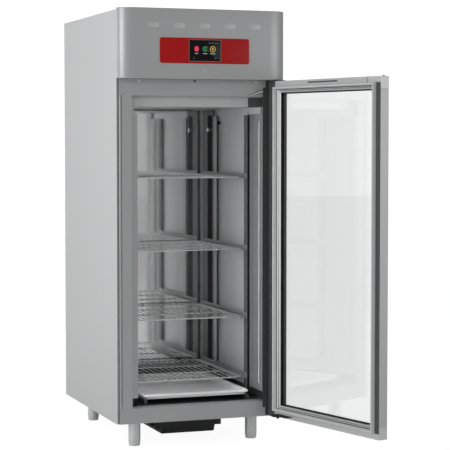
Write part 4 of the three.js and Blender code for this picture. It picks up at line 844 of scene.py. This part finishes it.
def measured_on_door(point):
    x, y, z = measured(point)
    u = (x - pivot_x) * math.cos(opening) + (y - pivot_y) * math.sin(opening)
    v = (y - pivot_y) * math.cos(opening) - (x - pivot_x) * math.sin(opening)
    return (u, v, z)


rail_low, rail_high = span("door_rail_top", measured_on_door)
leaf_foot = span("door_rail_bottom", measured_on_door)[0].z
free_edge, hinge_edge, leaf_face, leaf_top = rail_low.x, rail_high.x, rail_high.y, rail_high.z

joint_width, joint_inset = 3, 85
joint_low = (free_edge + joint_inset, rail_low.z + 14)
joint_high = (free_edge + joint_inset + joint_width, leaf_top - 2)
joint = bmesh.new()
plate(joint, oblong(joint_low, joint_high), "Y", leaf_face + 0.02, leaf_face + 0.1)
build("rail_joint", joint, strip_grey_and_painted_shade, "door", crease=30, place=on_door)
keeper_length, keeper_height, keeper_middle = 208, 6, (-353, leaf_top - 12)
keeper = bmesh.new()
keeper_outline = rounded(keeper_length, keeper_height, keeper_height / 2 - 0.1, 5, keeper_middle)
plate(keeper, keeper_outline, "Y", leaf_face + 0.05, leaf_face + 0.35)
build("keeper_slot", keeper, strip_grey_and_painted_shade, "door", crease=40, place=on_door)
stud_radius, stud_place = 4.6, (free_edge + 8.5, 4, 0)
stud_profile = [
    (stud_radius, leaf_top - 0.4), (stud_radius, leaf_top + 2.8), (stud_radius - 0.8, leaf_top + 4),
    (stud_radius - 3.6, leaf_top + 4.3),
]
stud = bmesh.new()
turned(stud, stud_profile, stud_place, "Z", sides=24)
build("door_stud", stud, black_plastic, "door", crease=40, place=on_door)
shoe_low, shoe_high = leaf_foot + 0.6, leaf_foot + 14.4
shoe_outline = [(-154, shoe_high), (-90, shoe_low), (20, shoe_low), (-33, shoe_high)]
shoe = bmesh.new()
plate(shoe, shoe_outline, "Y", leaf_face + 0.05, leaf_face + 1.8)
build("hinge_shoe", shoe, black_paint, "door", crease=40, place=on_door)

# Door seal: a pale magnetic bellows of soft plastic, pushed with its foot into a channel that runs
# round inside the edge strips. Its magnet strip lies in the flat outer part and meets the frame.
seal_rubber = surface(
    "seal rubber", (0.62, 0.625, 0.63), roughness=0.5, metallic=0.0,
    stretch=(100, 100, 100), variation=0.05, spread=0.1, relief=0.03,
)
seal_width = 12
foot_side = [(0, 0.3), (0, 3.4)]
bellows_side = [(1.2, 4.6), (0.4, 5.8), (1.8, 7), (1.2, 8.2)]
magnet_side = [(2.5, 9.6), (2.5, 16.9), (3.1, 17.6)]
half_profile = foot_side + bellows_side + magnet_side
seal_profile = half_profile + [(seal_width - across, proud) for across, proud in reversed(half_profile)]
seal_low = (free_edge + 27.3, leaf_foot + 25)
seal_high = (hinge_edge - 46.3, leaf_top - 25)


# A closed profile is led round a rectangle with mitred corners.
def frame_ring(mesh, low, high, profile):
    middle = ((low[0] + high[0]) / 2, (low[1] + high[1]) / 2)

    def settle(verts, across, v):
        for vert in verts:
            u = low[0] + across if vert.co.x < middle[0] else high[0] - across
            z = low[1] + across if vert.co.z < middle[1] else high[1] - across
            vert.co = (u, v, z)

    corners = [mesh.verts.new((u, 0, z)) for u, z in oblong(low, high)]
    edges = [mesh.edges.new(pair) for pair in zip(corners, corners[1:] + corners[:1])]
    settle(corners, *profile[0])
    for across, v in profile[1:] + profile[:1]:
        verts, edges = drawn_out(mesh, edges)
        settle(verts, across, v)
    bmesh.ops.remove_doubles(mesh, verts=mesh.verts[:], dist=0.001)


seal = bmesh.new()
frame_ring(seal, seal_low, seal_high, [(across, leaf_face + proud) for across, proud in seal_profile])
build("bellows_seal", seal, seal_rubber, "door", ("door_seal",), crease=50, place=on_door)
# The channel is drawn as a dark ring inside the seal: painted shadow in the gap between the seal and the
# frame.
channel_low, channel_high = (seal_width + 0.2, leaf_face + 0.05), (seal_width + 3.6, leaf_face + 0.5)
channel = bmesh.new()
frame_ring(channel, seal_low, seal_high, oblong(channel_low, channel_high))
build("seal_channel_shadow", channel, strip_grey_and_painted_shade, "door", crease=30, place=on_door)

# Door glazing: two clear panes held apart by a black spacer that is glued round between them. The
# inner pane has a grey printed border at the hinge side and black bands at its upper and lower
# edge, and it is bedded in a black gasket behind the sloped edge of the frame.


# Shadow rays pass straight through the glass.
def clear_glass(colour, roughness, refraction):
    made = bpy.data.materials.new("clear glass")
    made.use_nodes = True
    tree = made.node_tree
    shader = tree.nodes["Principled BSDF"]
    shader.inputs["Base Color"].default_value = (*colour, 1)
    shader.inputs["Roughness"].default_value = roughness
    shader.inputs["IOR"].default_value = refraction
    shader.inputs["Transmission Weight"].default_value = 1.0
    clear = tree.nodes.new("ShaderNodeBsdfTransparent")
    clear.inputs["Color"].default_value = (*colour, 1)
    ray = tree.nodes.new("ShaderNodeLightPath")
    mix = tree.nodes.new("ShaderNodeMixShader")
    tree.links.new(ray.outputs["Is Shadow Ray"], mix.inputs["Fac"])
    tree.links.new(shader.outputs["BSDF"], mix.inputs[1])
    tree.links.new(clear.outputs["BSDF"], mix.inputs[2])
    tree.links.new(mix.outputs["Shader"], tree.nodes["Material Output"].inputs["Surface"])
    return made


glass = clear_glass(colour=(0.92, 0.925, 0.923), roughness=0.02, refraction=1.45)
frit_black = surface(
    "frit black", (0.01, 0.01, 0.011), roughness=0.35, metallic=0.0,
    stretch=(60, 60, 60), variation=0.05, spread=0.05, relief=0.0,
)
frit_grey = surface(
    "frit grey", (0.07, 0.071, 0.073), roughness=0.3, metallic=0.0,
    stretch=(60, 60, 60), variation=0.05, spread=0.05, relief=0.0,
)
glass_low, glass_high = span("door_glass", measured_on_door)
pane_thickness, rebate = 4, 8
pane_low, pane_high = (glass_low.x, glass_low.z), (glass_high.x, glass_high.z)
day_low = (pane_low[0] + rebate, pane_low[1] + rebate)
day_high = (pane_high[0] - rebate, pane_high[1] - rebate)
for name, low, high, stands_for in (
    ("inner_pane", glass_high.y - pane_thickness, glass_high.y, ("door_glass",)),
    ("outer_pane", glass_low.y, glass_low.y + pane_thickness, ()),
):
    pane = bmesh.new()
    plate(pane, oblong(pane_low, pane_high), "Y", low, high)
    build(name, pane, glass, "door", stands_for, crease=30, place=on_door)

spacer_width = 11
spacer_low, spacer_high = glass_low.y + pane_thickness + 0.1, glass_high.y - pane_thickness - 0.1
spacer = bmesh.new()
frame_ring(spacer, pane_low, pane_high, oblong((0, spacer_low), (spacer_width, spacer_high)))
build("glazing_spacer", spacer, frit_black, "door", crease=30, place=on_door)

print_low, print_high = glass_high.y + 0.05, glass_high.y + 0.35
print_overlap, border_width = 6, 22
border_low = (day_high[0] - border_width, day_low[1] + print_overlap)
border_high = (day_high[0] + print_overlap, day_high[1] - print_overlap)
border = bmesh.new()
plate(border, oblong(border_low, border_high), "Y", print_low, print_high)
build("glass_border", border, frit_grey, "door", crease=30, place=on_door)
bands = bmesh.new()
for low, high in (
    (pane_low[1] + 2, day_low[1] + print_overlap - 0.1),
    (day_high[1] - print_overlap + 0.1, pane_high[1] - 2),
):
    band_outline = oblong((day_low[0] - print_overlap, low), (day_high[0] + print_overlap, high))
    plate(bands, band_outline, "Y", print_low, print_high)
build("glass_bands", bands, frit_black, "door", crease=30, place=on_door)

# The gasket lines the daylight opening, and a thin dark ring round the frame outside it is painted
# shade in a fine crease.
gasket_foot, gasket_top = glass_high.y + 0.4, leaf_face - 10.8
gasket_profile = [
    (0.1, gasket_foot), (0.1, gasket_top), (0.6, gasket_top + 0.5), (1.3, gasket_top), (1.3, gasket_foot),
]
gasket = bmesh.new()
frame_ring(gasket, day_low, day_high, gasket_profile)
build("glazing_gasket", gasket, frit_black, "door", crease=30, place=on_door)
# Painted shade: a thin dark ring that stands for the shade in the crease.
crease_outer, crease_inner, crease_thickness = (-8.0, leaf_face - 4.2), (-6.4, leaf_face - 5.3), 0.3
crease_profile = [
    crease_outer, (crease_outer[0], crease_outer[1] + crease_thickness),
    (crease_inner[0], crease_inner[1] + crease_thickness), crease_inner,
]
crease = bmesh.new()
frame_ring(crease, day_low, day_high, crease_profile)
build("glazing_crease_shade", crease, strip_grey_and_painted_shade, "door", crease=30, place=on_door)

# Studio: a pale floor in a white surround that lights softly. A broad key stands at the front
# left, a second panel at the rear left shows in the brushed side, and a fill is at the front
# right. Places are in metres from here on.
scene = bpy.context.scene
scene.view_settings.view_transform = "Standard"


# The floor and the surround look brighter to the camera than they light the cabinet.
def seen_ray(tree):
    ray = tree.nodes.new("ShaderNodeLightPath")
    either = tree.nodes.new("ShaderNodeMath")
    either.operation = "MAXIMUM"
    tree.links.new(ray.outputs["Is Camera Ray"], either.inputs[0])
    tree.links.new(ray.outputs["Is Transmission Ray"], either.inputs[1])
    return either.outputs["Value"]


def floor_finish(colour, roughness, strength, share):
    made = bpy.data.materials.new("pale floor")
    made.use_nodes = True
    tree = made.node_tree
    shader = tree.nodes["Principled BSDF"]
    shader.inputs["Base Color"].default_value = (*colour, 1)
    shader.inputs["Roughness"].default_value = roughness
    light = tree.nodes.new("ShaderNodeEmission")
    light.inputs["Color"].default_value = (1, 1, 1, 1)
    light.inputs["Strength"].default_value = strength
    seen = tree.nodes.new("ShaderNodeMath")
    seen.operation = "MULTIPLY"
    seen.inputs[1].default_value = share
    mix = tree.nodes.new("ShaderNodeMixShader")
    tree.links.new(seen_ray(tree), seen.inputs[0])
    tree.links.new(seen.outputs["Value"], mix.inputs["Fac"])
    tree.links.new(shader.outputs["BSDF"], mix.inputs[1])
    tree.links.new(light.outputs["Emission"], mix.inputs[2])
    tree.links.new(mix.outputs["Shader"], tree.nodes["Material Output"].inputs["Surface"])
    return made


floor_mesh = bmesh.new()
bmesh.ops.create_grid(floor_mesh, x_segments=1, y_segments=1, size=30.0)
floor_data = bpy.data.meshes.new("floor")
floor_mesh.to_mesh(floor_data)
floor_mesh.free()
pale_floor = floor_finish(colour=(0.85, 0.85, 0.85), roughness=0.8, strength=1.2, share=0.78)
floor_data.materials.append(pale_floor)
floor = bpy.data.objects.new("floor", floor_data)
floor.location = (0.28, 0.3, -0.001)
scene.collection.objects.link(floor)

lit_by, seen_as = 0.42, 1.1
world = bpy.data.worlds.new("studio")
scene.world = world
world.use_nodes = True
sky = world.node_tree
background = sky.nodes["Background"]
background.inputs["Color"].default_value = (1, 1, 1, 1)
strength = sky.nodes.new("ShaderNodeMapRange")
strength.inputs["To Min"].default_value = lit_by
strength.inputs["To Max"].default_value = seen_as
sky.links.new(seen_ray(sky), strength.inputs["Value"])
sky.links.new(strength.outputs["Result"], background.inputs["Strength"])


def area_light(name, place, target, size, power):
    lamp = bpy.data.lights.new(name, "AREA")
    lamp.shape = "RECTANGLE"
    lamp.size, lamp.size_y = size
    lamp.energy = power
    holder = bpy.data.objects.new(name, lamp)
    holder.location = place
    holder.rotation_euler = (Vector(target) - Vector(place)).to_track_quat("-Z", "Y").to_euler()
    scene.collection.objects.link(holder)
    return holder


key = area_light("key", (-4.5, -1.8, 2.2), target=(0.1, 0.3, 1.0), size=(3.0, 3.5), power=95)
side = area_light("side", (-3.2, 3.6, 1.6), target=(-0.1, 0.5, 1.0), size=(2.5, 3.5), power=45)
fill = area_light("fill", (4.6, -4.4, 2.0), target=(0.3, 0.0, 1.0), size=(3.0, 3.0), power=38)

# Camera: its place, its turn and its lens were fitted to corners and edges of the cabinet in the
# photo. It stands left of the middle, at chest height, and looks slightly down.
camera_place = (-2.0493, -6.9302, 1.3674)
camera_turn, camera_drop, camera_lens = -19.712, 2.96, 129.1
camera_data = bpy.data.cameras.new("camera")
camera_data.sensor_width = 36
camera_data.lens = camera_lens
camera = bpy.data.objects.new("camera", camera_data)
camera.location = camera_place
camera.rotation_euler = (math.radians(90 - camera_drop), 0, math.radians(camera_turn))
scene.collection.objects.link(camera)
scene.camera = camera
